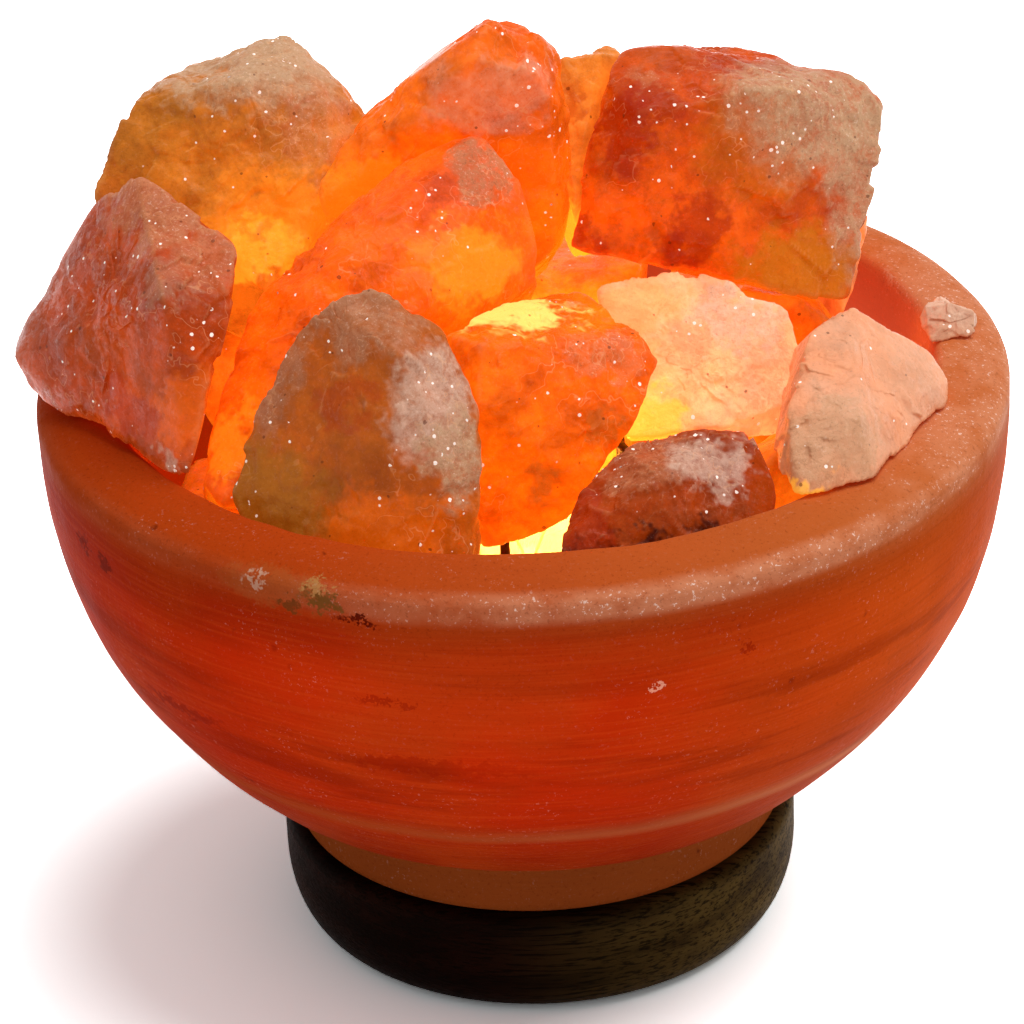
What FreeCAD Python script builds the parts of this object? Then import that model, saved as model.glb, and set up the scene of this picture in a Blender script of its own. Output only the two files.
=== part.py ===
import FreeCAD, Part
import itertools
import math
import os

from FreeCAD import Vector

# A salt crystal lamp of the bowl kind: a turned rock-salt bowl on a round wooden base,
# heaped with loose lumps of salt and lit from inside by a small bulb in a wire guard.
# The origin is on the table under the middle of the bowl, +Z is up and -Y is the front.
# All sizes are in millimetres and all angles in degrees.

# ------------------------------------------------------------------ driving dimensions
# clearances: between parts that only rest on each other, and round a part set in a hole
SEAT_GAP = 0.3
HOLE_GAP = 0.05

# turned salt bowl
BOWL_RADIUS = 100.0
BOWL_HEIGHT = 102.8
SIDE_REACH = 126.5
SIDE_POWER = 2.64
SIDE_ROOT = 0.83
RING_RADIUS = 52.4
RING_HEIGHT = 20.5
UNDERSIDE_DROP = 6.6
RIM_WIDTH = 15.5
LIP_WIDTH = 13.6
LIP_DROP = 4.8
CAVITY_DEPTH = 64.0
CAVITY_FLOOR_RADIUS = 36.0
CAVITY_BULGE = 13.0
BOWL_HOLE_RADIUS = 21.0

# round wooden base
BASE_MARGIN = 2.6
BASE_HEIGHT = 24.0
BASE_TOP_ROUND = 2.4
BASE_BOTTOM_INSET = 6.0
BASE_BOTTOM_RISE = 14.0
BASE_HOLE_MARGIN = 1.0
POCKET_DEPTH = 17.0

# screws that draw the base up against the bowl, each in a plug set into the salt
FIXING_COUNT = 3
FIXING_INSET = 9.0
FIXING_FIRST_ANGLE = 0.0
FIXING_SINK = 6.0
SCREW_RADIUS = 2.0
SCREW_HEAD_RADIUS = 4.0
SCREW_HEAD_HEIGHT = 2.4
SCREW_LENGTH = 34.0
WASHER_RADIUS = 5.0
WASHER_THICKNESS = 1.0
PLUG_RADIUS = 4.0
PLUG_LENGTH = 18.0

# small screws, of one pattern
SMALL_SCREW_RADIUS = 1.4
SMALL_HEAD_RADIUS = 2.6
SMALL_HEAD_HEIGHT = 1.4
SLOT_WIDTH = 0.8
SLOT_DEPTH = 0.7

# lampholder on its round plate
PLATE_RADIUS = 30.0
PLATE_THICKNESS = 1.2
PLATE_HOLE_RADIUS = 9.0
PLATE_SCREW_COUNT = 2
PLATE_SCREW_INSET = 4.0
PLATE_SCREW_LENGTH = 6.0
HOLDER_RADIUS = 14.0
HOLDER_RISE = 1.2
HOLDER_WALL = 2.5
HOLDER_LIP_HEIGHT = 2.7
BLOCK_DROP = 18.0
BLOCK_HEIGHT = 12.0
THREAD_SHELL_HEIGHT = 14.0
THREAD_SHELL_WALL = 0.5
TERMINAL_SPACING = 11.0
TERMINAL_LENGTH = 7.0
CONTACT_RISE = 3.0
CONTACT_REACH = 6.0
CONTACT_WIDTH = 4.0
CONTACT_THICKNESS = 0.5
CLIP_COUNT = 2
CLIP_WIDTH = 7.0
CLIP_THICKNESS = 0.6
CLIP_LOW_DROP = 34.0
CLIP_HIGH_DROP = 9.0

# pygmy bulb with a 14 mm screw cap
CAP_RADIUS = 6.9
CAP_HEIGHT = 16.0
CAP_WALL = 0.5
CAP_CLEARANCE = 0.08
TIP_RADIUS = 2.4
TIP_HEIGHT = 0.8
INSULATOR_HEIGHT = 2.0
INSULATOR_CONE = 0.8
GLASS_RADIUS = 13.0
GLASS_HEIGHT = 41.0
GLASS_WALL = 0.9
GLASS_DOME = 15.0
NECK_LENGTH = 4.0
STEM_RADIUS = 2.6
STEM_HEIGHT = 15.0
LEAD_SPREAD = 5.5
LEAD_RADIUS = 0.3
LEAD_HEIGHT = 26.0
FILAMENT_RADIUS = 0.4

# wire guard over the bulb
GUARD_RADIUS = 24.0
GUARD_CROWN_RADIUS = 8.0
GUARD_HEIGHT = 49.0
GUARD_SHOULDER = 15.0
GUARD_WIRE_RADIUS = 1.0
GUARD_RING_WIRE_RADIUS = 1.3
GUARD_WIRE_COUNT = 8
GUARD_FIRST_ANGLE = -102.0

# cover plate, feet and cord grommet under the base
COVER_MARGIN = 6.0
COVER_THICKNESS = 1.6
COVER_SCREW_COUNT = 3
COVER_SCREW_FIRST_ANGLE = 60.0
COVER_SCREW_LENGTH = 8.0
FOOT_COUNT = 3
FOOT_FIRST_ANGLE = 30.0
FOOT_RADIUS = 4.6
FOOT_HEIGHT = 1.2
FOOT_SINK = 1.0
GROMMET_RADIUS = 4.3
GROMMET_BORE_RADIUS = 3.1
GROMMET_FLANGE_RADIUS = 6.2
GROMMET_FLANGE_THICKNESS = 1.2
GROMMET_HEADROOM = 1.5

# ------------------------------------------------------------------ levels and shared sizes
BASE_RADIUS = RING_RADIUS + BASE_MARGIN
BASE_BOTTOM_Z = FOOT_HEIGHT
BASE_TOP_Z = BASE_BOTTOM_Z + BASE_HEIGHT
RING_TOP_Z = BASE_TOP_Z + RING_HEIGHT
RIM_Z = BASE_TOP_Z + BOWL_HEIGHT
SIDE_TOP_Z = RIM_Z - LIP_DROP
CROWN_RADIUS = BOWL_RADIUS - LIP_WIDTH
MOUTH_RADIUS = BOWL_RADIUS - RIM_WIDTH
MOUTH_ROUND = RIM_WIDTH - LIP_WIDTH
FLOOR_Z = RIM_Z - CAVITY_DEPTH
POCKET_RADIUS = PLATE_RADIUS + SEAT_GAP
POCKET_TOP_Z = BASE_BOTTOM_Z + POCKET_DEPTH
COVER_RADIUS = POCKET_RADIUS + COVER_MARGIN
COVER_TOP_Z = BASE_BOTTOM_Z + COVER_THICKNESS
COVER_SCREW_CIRCLE = POCKET_RADIUS + COVER_MARGIN / 2
FIXING_CIRCLE = RING_RADIUS - FIXING_INSET
FIXING_SEAT_Z = BASE_BOTTOM_Z + FIXING_SINK
PLATE_SCREW_CIRCLE = PLATE_RADIUS - PLATE_SCREW_INSET
HOLDER_TOP_Z = FLOOR_Z + HOLDER_RISE
BLOCK_TOP_Z = HOLDER_TOP_Z - BLOCK_DROP
BLOCK_BOTTOM_Z = BLOCK_TOP_Z - BLOCK_HEIGHT
CAP_BOTTOM_Z = BLOCK_TOP_Z + CONTACT_RISE
CAP_TOP_Z = CAP_BOTTOM_Z + CAP_HEIGHT
THREAD_SHELL_RADIUS = CAP_RADIUS + CAP_CLEARANCE + THREAD_SHELL_WALL
NECK_RADIUS = CAP_RADIUS - CAP_WALL - SEAT_GAP
GUARD_BOTTOM_Z = FLOOR_Z + SEAT_GAP
GUARD_TOP_Z = GUARD_BOTTOM_Z + GUARD_HEIGHT
INLET_Z = POCKET_TOP_Z - GROMMET_RADIUS - GROMMET_HEADROOM
UP = Vector(0, 0, 1)
BACK = Vector(0, 1, 0)


def save(name, shape):
    """Write one sub-part of the lamp to its own STEP file."""
    shape.exportStep("parts/" + name + ".step")


# ------------------------------------------------------------------ geometry helpers
def at(radius, angle, z=0.0):
    """The point at a radius and a compass angle from the lamp's axis."""
    turn = math.radians(angle)
    return Vector(radius * math.cos(turn), radius * math.sin(turn), z)


def even_angles(count, first=0.0):
    """Angles of a row of equal parts spread evenly round the axis."""
    return [first + 360.0 * number / count for number in range(count)]


def line(start, end):
    """A straight edge between two (radius, height) points of a turned profile."""
    return Part.makeLine(Vector(start[0], 0, start[1]), Vector(end[0], 0, end[1]))


def lines(points):
    """Straight edges through a row of (radius, height) points."""
    return [line(start, end) for start, end in zip(points[:-1], points[1:])]


def arc(start, middle, end):
    """A round edge through three (radius, height) points."""
    points = [Vector(radius, 0, height) for radius, height in (start, middle, end)]
    return Part.Arc(*points).toShape()


def smooth(points):
    """A smooth edge through a row of (radius, height) points."""
    curve = Part.BSplineCurve()
    curve.interpolate([Vector(radius, 0, height) for radius, height in points])
    return curve.toShape()


def on_ellipse(centre, radius_r, radius_z, angle):
    """The (radius, height) point of an ellipse at an angle round its centre."""
    turn = math.radians(angle)
    return (centre[0] + radius_r * math.cos(turn), centre[1] + radius_z * math.sin(turn))


def rounded(centre, radius_r, radius_z, first, last, steps=6):
    """A smooth edge along part of an ellipse, from one angle to another."""
    angles = [first + (last - first) * step / steps for step in range(steps + 1)]
    return smooth([on_ellipse(centre, radius_r, radius_z, angle) for angle in angles])


def turned(edges):
    """Turn a closed profile of edges once round the lamp's axis into a solid."""
    face = Part.Face(Part.Wire(edges))
    return face.revolve(Vector(0, 0, 0), UP, 360)


def rod(radius, length, start, direction=UP):
    """A plain round rod from a start point along a direction."""
    return Part.makeCylinder(radius, length, start, direction)


def tube(outer, inner, length, start, direction=UP):
    """A round tube from a start point along a direction."""
    return rod(outer, length, start, direction).cut(rod(inner, length, start, direction))


def cut_all(shape, tools):
    """Cut a row of tools out of a shape."""
    return shape.cut(Part.makeCompound(tools)) if tools else shape


def slotted_screw(shank, head, head_height, length, seat):
    """A screw driven upwards: its head hangs below the seat, with one slot across it."""
    bottom = seat - Vector(0, 0, head_height)
    slot_corner = bottom - Vector(head, SLOT_WIDTH / 2, 0)
    slot = Part.makeBox(2 * head, SLOT_WIDTH, SLOT_DEPTH, slot_corner)
    return rod(head, head_height, bottom).cut(slot).fuse(rod(shank, length, seat))


# ------------------------------------------------------------------ salt bowl
def side_radius(height):
    """Outer radius of the bowl's side at a height: a flattened ellipse under the lip."""
    drop = (SIDE_TOP_Z - height) / SIDE_REACH
    return BOWL_RADIUS * (1.0 - drop ** SIDE_POWER) ** (1.0 / SIDE_ROOT)


def cavity_arc():
    """The three (radius, height) points of the arc that the cavity's side is turned to."""
    low = (CAVITY_FLOOR_RADIUS, FLOOR_Z)
    high = (MOUTH_RADIUS, RIM_Z - MOUTH_ROUND)
    run = high[0] - low[0]
    rise = high[1] - low[1]
    length = math.hypot(run, rise)
    middle = ((low[0] + high[0]) / 2 + CAVITY_BULGE * rise / length,
              (low[1] + high[1]) / 2 - CAVITY_BULGE * run / length)
    return low, middle, high


def cavity_radius(height, gap):
    """Radius of the cavity at a height, held off its wall by a gap."""
    low, middle, high = cavity_arc()
    circle = arc(low, middle, high).Curve
    centre = circle.Center
    reach = circle.Radius - gap
    return centre.x + math.sqrt(reach ** 2 - (height - centre.z) ** 2)


def fixing_points(z):
    """Where the three fixing screws stand, at a height."""
    return [at(FIXING_CIRCLE, angle, z) for angle in even_angles(FIXING_COUNT, FIXING_FIRST_ANGLE)]


def salt_bowl():
    """Turned salt bowl: foot ring, flattened side, rolled lip, cavity and lamp hole."""
    side_rows = 9
    step = (SIDE_TOP_Z - RING_TOP_Z) / side_rows
    heights = [SIDE_TOP_Z - step * row for row in range(side_rows + 1)]
    side = [(side_radius(height), height) for height in heights]
    low, middle, high = cavity_arc()
    edges = lines([(BOWL_HOLE_RADIUS, BASE_TOP_Z), (BOWL_HOLE_RADIUS, FLOOR_Z), low])
    edges.append(arc(low, middle, high))
    edges.append(rounded((CROWN_RADIUS, high[1]), MOUTH_ROUND, MOUTH_ROUND, 180, 90))
    edges.append(rounded((CROWN_RADIUS, SIDE_TOP_Z), LIP_WIDTH, LIP_DROP, 90, 0))
    edges.append(smooth(side))
    edges += lines([side[-1], (RING_RADIUS, RING_TOP_Z - UNDERSIDE_DROP),
                    (RING_RADIUS, BASE_TOP_Z), (BOWL_HOLE_RADIUS, BASE_TOP_Z)])
    holes = [rod(PLUG_RADIUS + HOLE_GAP, PLUG_LENGTH + SEAT_GAP, point)
             for point in fixing_points(BASE_TOP_Z)]
    return cut_all(turned(edges), holes)


# ------------------------------------------------------------------ wooden base and fixings
def cover_screw_points(z):
    """Where the cover's small screws stand, at a height."""
    return [at(COVER_SCREW_CIRCLE, angle, z)
            for angle in even_angles(COVER_SCREW_COUNT, COVER_SCREW_FIRST_ANGLE)]


def plate_screw_points(z):
    """Where the lampholder plate's small screws stand, at a height."""
    return [at(PLATE_SCREW_CIRCLE, angle, z) for angle in even_angles(PLATE_SCREW_COUNT)]


def foot_points(z):
    """Where the feet stand, at a height: clear of the cover and of the fixing screws."""
    circle = COVER_RADIUS + 2 * SEAT_GAP + FOOT_RADIUS
    return [at(circle, angle, z) for angle in even_angles(FOOT_COUNT, FOOT_FIRST_ANGLE)]


def wooden_base():
    """Turned wooden base with a rounded edge, a pocket below and the holes for its screws."""
    low_centre = (BASE_RADIUS - BASE_BOTTOM_INSET, BASE_BOTTOM_Z + BASE_BOTTOM_RISE)
    high_centre = (BASE_RADIUS - BASE_TOP_ROUND, BASE_TOP_Z - BASE_TOP_ROUND)
    step_radius = COVER_RADIUS + SEAT_GAP
    hole_radius = BOWL_HOLE_RADIUS + BASE_HOLE_MARGIN
    edges = [line((step_radius, BASE_BOTTOM_Z), (low_centre[0], BASE_BOTTOM_Z))]
    edges.append(rounded(low_centre, BASE_BOTTOM_INSET, BASE_BOTTOM_RISE, -90, 0))
    edges.append(line((BASE_RADIUS, low_centre[1]), (BASE_RADIUS, high_centre[1])))
    edges.append(arc((BASE_RADIUS, high_centre[1]),
                     on_ellipse(high_centre, BASE_TOP_ROUND, BASE_TOP_ROUND, 45),
                     (high_centre[0], BASE_TOP_Z)))
    edges += lines([(high_centre[0], BASE_TOP_Z), (hole_radius, BASE_TOP_Z),
                    (hole_radius, POCKET_TOP_Z), (POCKET_RADIUS, POCKET_TOP_Z),
                    (POCKET_RADIUS, COVER_TOP_Z), (step_radius, COVER_TOP_Z),
                    (step_radius, BASE_BOTTOM_Z)])
    tools = []
    for point in fixing_points(BASE_BOTTOM_Z):
        tools.append(rod(WASHER_RADIUS + SEAT_GAP, FIXING_SINK, point))
        tools.append(rod(SCREW_RADIUS + SEAT_GAP, BASE_HEIGHT, point))
    for point in foot_points(BASE_BOTTOM_Z):
        tools.append(rod(FOOT_RADIUS + HOLE_GAP, FOOT_SINK, point))
    for point in cover_screw_points(COVER_TOP_Z):
        tools.append(rod(SMALL_SCREW_RADIUS + HOLE_GAP, COVER_SCREW_LENGTH + SEAT_GAP, point))
    for point in plate_screw_points(POCKET_TOP_Z):
        tools.append(rod(SMALL_SCREW_RADIUS + HOLE_GAP, PLATE_SCREW_LENGTH, point))
    inlet = Vector(0, 0, INLET_Z)
    tools.append(rod(GROMMET_RADIUS + HOLE_GAP, BASE_RADIUS, inlet, BACK))
    flange_seat = Vector(0, BASE_RADIUS - GROMMET_FLANGE_THICKNESS / 2, INLET_Z)
    tools.append(rod(GROMMET_FLANGE_RADIUS + SEAT_GAP, BASE_MARGIN, flange_seat, BACK))
    return cut_all(turned(edges), tools)


def fixing_screws():
    """Long screws that hold the wooden base up against the bowl's foot ring."""
    seats = fixing_points(FIXING_SEAT_Z - WASHER_THICKNESS)
    screws = [slotted_screw(SCREW_RADIUS, SCREW_HEAD_RADIUS, SCREW_HEAD_HEIGHT,
                            SCREW_LENGTH, seat) for seat in seats]
    return Part.makeCompound(screws)


def fixing_washers():
    """A flat washer under each fixing screw's head."""
    starts = fixing_points(FIXING_SEAT_Z - WASHER_THICKNESS)
    return Part.makeCompound([tube(WASHER_RADIUS, SCREW_RADIUS + HOLE_GAP, WASHER_THICKNESS, start)
                              for start in starts])


def wall_plugs():
    """Plugs set into the salt, which the fixing screws bite into."""
    starts = fixing_points(BASE_TOP_Z)
    return Part.makeCompound([tube(PLUG_RADIUS, SCREW_RADIUS + HOLE_GAP, PLUG_LENGTH, start)
                              for start in starts])


def rubber_feet():
    """Three low round feet pressed into shallow sockets under the base."""
    return Part.makeCompound([rod(FOOT_RADIUS, FOOT_HEIGHT + FOOT_SINK, point)
                              for point in foot_points(0)])


def cover_plate():
    """Round plate let into the underside, which closes the pocket for the wiring."""
    plate = rod(COVER_RADIUS, COVER_THICKNESS, Vector(0, 0, BASE_BOTTOM_Z))
    tools = []
    for point in cover_screw_points(BASE_BOTTOM_Z):
        tools.append(rod(SMALL_SCREW_RADIUS + HOLE_GAP, COVER_THICKNESS, point))
        tools.append(rod(SMALL_HEAD_RADIUS + HOLE_GAP, COVER_THICKNESS / 2, point))
    return cut_all(plate, tools)


def cover_screws():
    """Small screws of the cover plate, with their heads sunk into it."""
    seats = cover_screw_points(BASE_BOTTOM_Z + COVER_THICKNESS / 2)
    head_height = COVER_THICKNESS / 2 + SLOT_DEPTH / 2
    screws = [slotted_screw(SMALL_SCREW_RADIUS, SMALL_HEAD_RADIUS, head_height,
                            COVER_SCREW_LENGTH, seat) for seat in seats]
    return Part.makeCompound(screws)


def cord_grommet():
    """Flanged sleeve that lines the hole where a cord comes in at the back."""
    inner_end = Vector(0, POCKET_RADIUS, INLET_Z)
    flange_start = Vector(0, BASE_RADIUS - GROMMET_FLANGE_THICKNESS / 2, INLET_Z)
    sleeve = rod(GROMMET_RADIUS, flange_start.y - inner_end.y, inner_end, BACK)
    flange = rod(GROMMET_FLANGE_RADIUS, GROMMET_FLANGE_THICKNESS, flange_start, BACK)
    bore = rod(GROMMET_BORE_RADIUS, BASE_RADIUS, inner_end, BACK)
    return sleeve.fuse(flange).cut(bore).removeSplitter()


# ------------------------------------------------------------------ lampholder
def holder_plate():
    """Round steel plate that carries the lampholder, screwed up inside the pocket."""
    bottom = Vector(0, 0, POCKET_TOP_Z - PLATE_THICKNESS)
    plate = tube(PLATE_RADIUS, PLATE_HOLE_RADIUS, PLATE_THICKNESS, bottom)
    holes = [rod(SMALL_SCREW_RADIUS + HOLE_GAP, PLATE_THICKNESS, point)
             for point in plate_screw_points(bottom.z)]
    return cut_all(plate, holes)


def plate_screws():
    """Small screws that hold the lampholder plate up to the wood."""
    seats = plate_screw_points(POCKET_TOP_Z - PLATE_THICKNESS)
    return Part.makeCompound([slotted_screw(SMALL_SCREW_RADIUS, SMALL_HEAD_RADIUS,
                                            SMALL_HEAD_HEIGHT, PLATE_SCREW_LENGTH, seat)
                              for seat in seats])


def holder_shell():
    """Moulded sleeve of the lampholder, with a lip that steadies the bulb's cap."""
    top_z = HOLDER_TOP_Z
    inner = HOLDER_RADIUS - HOLDER_WALL
    lip = THREAD_SHELL_RADIUS + HOLE_GAP
    profile = [(inner, POCKET_TOP_Z), (HOLDER_RADIUS, POCKET_TOP_Z), (HOLDER_RADIUS, top_z),
               (lip, top_z), (lip, top_z - HOLDER_LIP_HEIGHT), (inner, top_z - HOLDER_LIP_HEIGHT),
               (inner, POCKET_TOP_Z)]
    return turned(lines(profile))


def terminal_points(z):
    """Where the two terminal screws stand, at a height."""
    return [Vector(side * TERMINAL_SPACING / 2, 0, z) for side in (-1, 1)]


def contact_block():
    """Insulating block inside the sleeve, which carries the contacts."""
    start = Vector(0, 0, BLOCK_BOTTOM_Z)
    block = rod(HOLDER_RADIUS - HOLDER_WALL - HOLE_GAP, BLOCK_HEIGHT, start)
    holes = [rod(SMALL_SCREW_RADIUS + HOLE_GAP, TERMINAL_LENGTH, point)
             for point in terminal_points(BLOCK_BOTTOM_Z)]
    return cut_all(block, holes)


def terminal_screws():
    """Two screws under the block that clamp the conductors."""
    return Part.makeCompound([slotted_screw(SMALL_SCREW_RADIUS, SMALL_HEAD_RADIUS,
                                            SMALL_HEAD_HEIGHT, TERMINAL_LENGTH, seat)
                              for seat in terminal_points(BLOCK_BOTTOM_Z)])


def thread_shell():
    """Brass shell that the bulb's cap turns in, with a running clearance."""
    start = Vector(0, 0, BLOCK_TOP_Z)
    return tube(THREAD_SHELL_RADIUS, CAP_RADIUS + CAP_CLEARANCE, THREAD_SHELL_HEIGHT, start)


def centre_contact():
    """Sprung brass leaf that rises from the block to just under the bulb's tip."""
    rise = CONTACT_RISE - TIP_HEIGHT - INSULATOR_CONE - SEAT_GAP
    thick = CONTACT_THICKNESS
    bend = -CONTACT_REACH / 3
    outline = [(-CONTACT_REACH, 0), (bend, 0), (TIP_RADIUS, rise - thick), (TIP_RADIUS, rise),
               (bend, thick), (-CONTACT_REACH, thick), (-CONTACT_REACH, 0)]
    corners = [Vector(x, -CONTACT_WIDTH / 2, BLOCK_TOP_Z + z) for x, z in outline]
    return Part.Face(Part.makePolygon(corners)).extrude(Vector(0, CONTACT_WIDTH, 0))


def spring_clips():
    """Bowed steel strips on the sleeve that grip the wall of the hole in the salt."""
    foot = HOLDER_RADIUS + HOLE_GAP
    crest = BOWL_HOLE_RADIUS - SEAT_GAP
    low_z = HOLDER_TOP_Z - CLIP_LOW_DROP
    high_z = HOLDER_TOP_Z - CLIP_HIGH_DROP
    middle_z = (low_z + high_z) / 2
    thick = CLIP_THICKNESS
    outer = arc((foot + thick, low_z), (crest, middle_z), (foot + thick, high_z))
    inner = arc((foot, high_z), (crest - thick, middle_z), (foot, low_z))
    edges = [outer, line((foot + thick, high_z), (foot, high_z)), inner,
             line((foot, low_z), (foot + thick, low_z))]
    strip = Part.Face(Part.Wire(edges)).extrude(Vector(0, CLIP_WIDTH, 0))
    strip.translate(Vector(0, -CLIP_WIDTH / 2, 0))
    clips = []
    for angle in even_angles(CLIP_COUNT):
        clip = strip.copy()
        clip.rotate(Vector(0, 0, 0), UP, angle)
        clips.append(clip)
    return Part.makeCompound(clips)


# ------------------------------------------------------------------ bulb
def bulb_cap():
    """Thin screw cap of the bulb."""
    return tube(CAP_RADIUS, CAP_RADIUS - CAP_WALL, CAP_HEIGHT, Vector(0, 0, CAP_BOTTOM_Z))


def bulb_insulator():
    """Glassy insulator in the end of the cap, coned down to the tip contact."""
    radius = CAP_RADIUS - CAP_WALL - HOLE_GAP
    cone_z = CAP_BOTTOM_Z - INSULATOR_CONE
    profile = [(0, cone_z), (TIP_RADIUS, cone_z), (radius, CAP_BOTTOM_Z),
               (radius, CAP_BOTTOM_Z + INSULATOR_HEIGHT), (0, CAP_BOTTOM_Z + INSULATOR_HEIGHT),
               (0, cone_z)]
    return turned(lines(profile))


def bulb_tip():
    """Soldered tip contact under the insulator."""
    tip_z = CAP_BOTTOM_Z - INSULATOR_CONE - TIP_HEIGHT
    return rod(TIP_RADIUS, TIP_HEIGHT, Vector(0, 0, tip_z))


def glass_edges(inset):
    """Profile edges of the glass from its neck to the top of its dome, set in by a wall."""
    neck = NECK_RADIUS - inset
    belly = GLASS_RADIUS - inset
    belly_z = CAP_TOP_Z + GLASS_HEIGHT - GLASS_DOME
    shoulder = (belly_z - CAP_TOP_Z) / 2
    swell = smooth([(neck, CAP_TOP_Z), (neck + (belly - neck) * 0.55, CAP_TOP_Z + shoulder),
                    (belly, belly_z)])
    dome = rounded((0, belly_z), belly, GLASS_DOME - inset, 0, 90)
    return [line((neck, CAP_TOP_Z - NECK_LENGTH), (neck, CAP_TOP_Z)), swell, dome]


def bulb_glass():
    """Hollow pear-shaped glass, cemented into the cap by its neck."""
    neck_z = CAP_TOP_Z - NECK_LENGTH
    top_z = CAP_TOP_Z + GLASS_HEIGHT
    edges = glass_edges(0)
    edges.append(line((0, top_z), (0, top_z - GLASS_WALL)))
    edges += list(reversed(glass_edges(GLASS_WALL)))
    edges.append(line((NECK_RADIUS - GLASS_WALL, neck_z), (NECK_RADIUS, neck_z)))
    return turned(Part.__sortEdges__(edges))


def lead_wire(side):
    """One support wire: up out of the stem, then spread to the filament's end."""
    stem_top = CAP_TOP_Z + STEM_HEIGHT
    foot = Vector(side * STEM_RADIUS / 2, 0, stem_top)
    end = Vector(side * LEAD_SPREAD, 0, CAP_TOP_Z + LEAD_HEIGHT)
    return rod(LEAD_RADIUS, (end - foot).Length, foot, end - foot)


def lead_wires():
    """The two support wires that hold the filament."""
    return Part.makeCompound([lead_wire(side) for side in (-1, 1)])


def bulb_stem():
    """Glass stem inside the bulb, standing on the rim of its neck."""
    start = Vector(0, 0, CAP_TOP_Z - NECK_LENGTH)
    foot_radius = NECK_RADIUS - GLASS_WALL - HOLE_GAP
    foot = Part.makeCone(foot_radius, STEM_RADIUS, NECK_LENGTH, start)
    return foot.fuse(rod(STEM_RADIUS, STEM_HEIGHT, Vector(0, 0, CAP_TOP_Z))).removeSplitter()


def bulb_filament():
    """Coiled-coil filament, as one thin bar between the ends of the support wires."""
    z = CAP_TOP_Z + LEAD_HEIGHT + LEAD_RADIUS + FILAMENT_RADIUS
    start = Vector(-LEAD_SPREAD - LEAD_RADIUS, 0, z)
    return rod(FILAMENT_RADIUS, 2 * (LEAD_SPREAD + LEAD_RADIUS), start, Vector(1, 0, 0))


# ------------------------------------------------------------------ wire guard
def guard_bend():
    """The guard wire's bend from upright to crown: its centre, radius and sweep."""
    shoulder_z = GUARD_TOP_Z - GUARD_SHOULDER
    reach = GUARD_RADIUS - GUARD_CROWN_RADIUS
    rise = GUARD_TOP_Z - GUARD_RING_WIRE_RADIUS - shoulder_z
    bend = (reach ** 2 + rise ** 2) / (2 * reach)
    sweep = math.degrees(math.atan2(rise, bend - reach))
    return (GUARD_RADIUS - bend, shoulder_z), bend, sweep


def guard_reach(rise):
    """How far the guard reaches from the origin towards a rise in degrees."""
    centre, bend, sweep = guard_bend()
    steps = 12
    points = [on_ellipse(centre, bend, bend, sweep * step / steps) for step in range(steps + 1)]
    turn = math.radians(rise)
    reaches = [radius * math.cos(turn) + height * math.sin(turn) for radius, height in points]
    return max(reaches) + GUARD_RING_WIRE_RADIUS


def wire_guard():
    """Guard of bent wires welded to a foot ring and a crown ring."""
    centre, bend, sweep = guard_bend()
    foot_z = GUARD_BOTTOM_Z + GUARD_RING_WIRE_RADIUS
    crown_z = GUARD_TOP_Z - GUARD_RING_WIRE_RADIUS
    shoulder = Vector(GUARD_RADIUS, 0, centre[1])
    upright = rod(GUARD_WIRE_RADIUS, centre[1] - foot_z, Vector(GUARD_RADIUS, 0, foot_z))
    section = Part.Face(Part.Wire(Part.makeCircle(GUARD_WIRE_RADIUS, shoulder, UP)))
    bent = section.revolve(Vector(centre[0], 0, centre[1]), BACK * -1, sweep)
    wires = []
    for angle in even_angles(GUARD_WIRE_COUNT, GUARD_FIRST_ANGLE):
        for piece in (upright, bent):
            copy = piece.copy()
            copy.rotate(Vector(0, 0, 0), UP, angle)
            wires.append(copy)
    wires.append(Part.makeTorus(GUARD_CROWN_RADIUS, GUARD_RING_WIRE_RADIUS, Vector(0, 0, crown_z)))
    foot = Part.makeTorus(GUARD_RADIUS, GUARD_RING_WIRE_RADIUS, Vector(0, 0, foot_z))
    return foot.fuse(wires)


# ------------------------------------------------------------------ stones
# Each loose lump of salt is broken along flat faces, so it is noted by its corners:
# x to the right, y to the back and height above the rim. They are noted in a bowl with
# this mouth and depth, and place() fits them to the bowl as it is.
NOTED_MOUTH = 84.5
NOTED_DEPTH = 64.0

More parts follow.
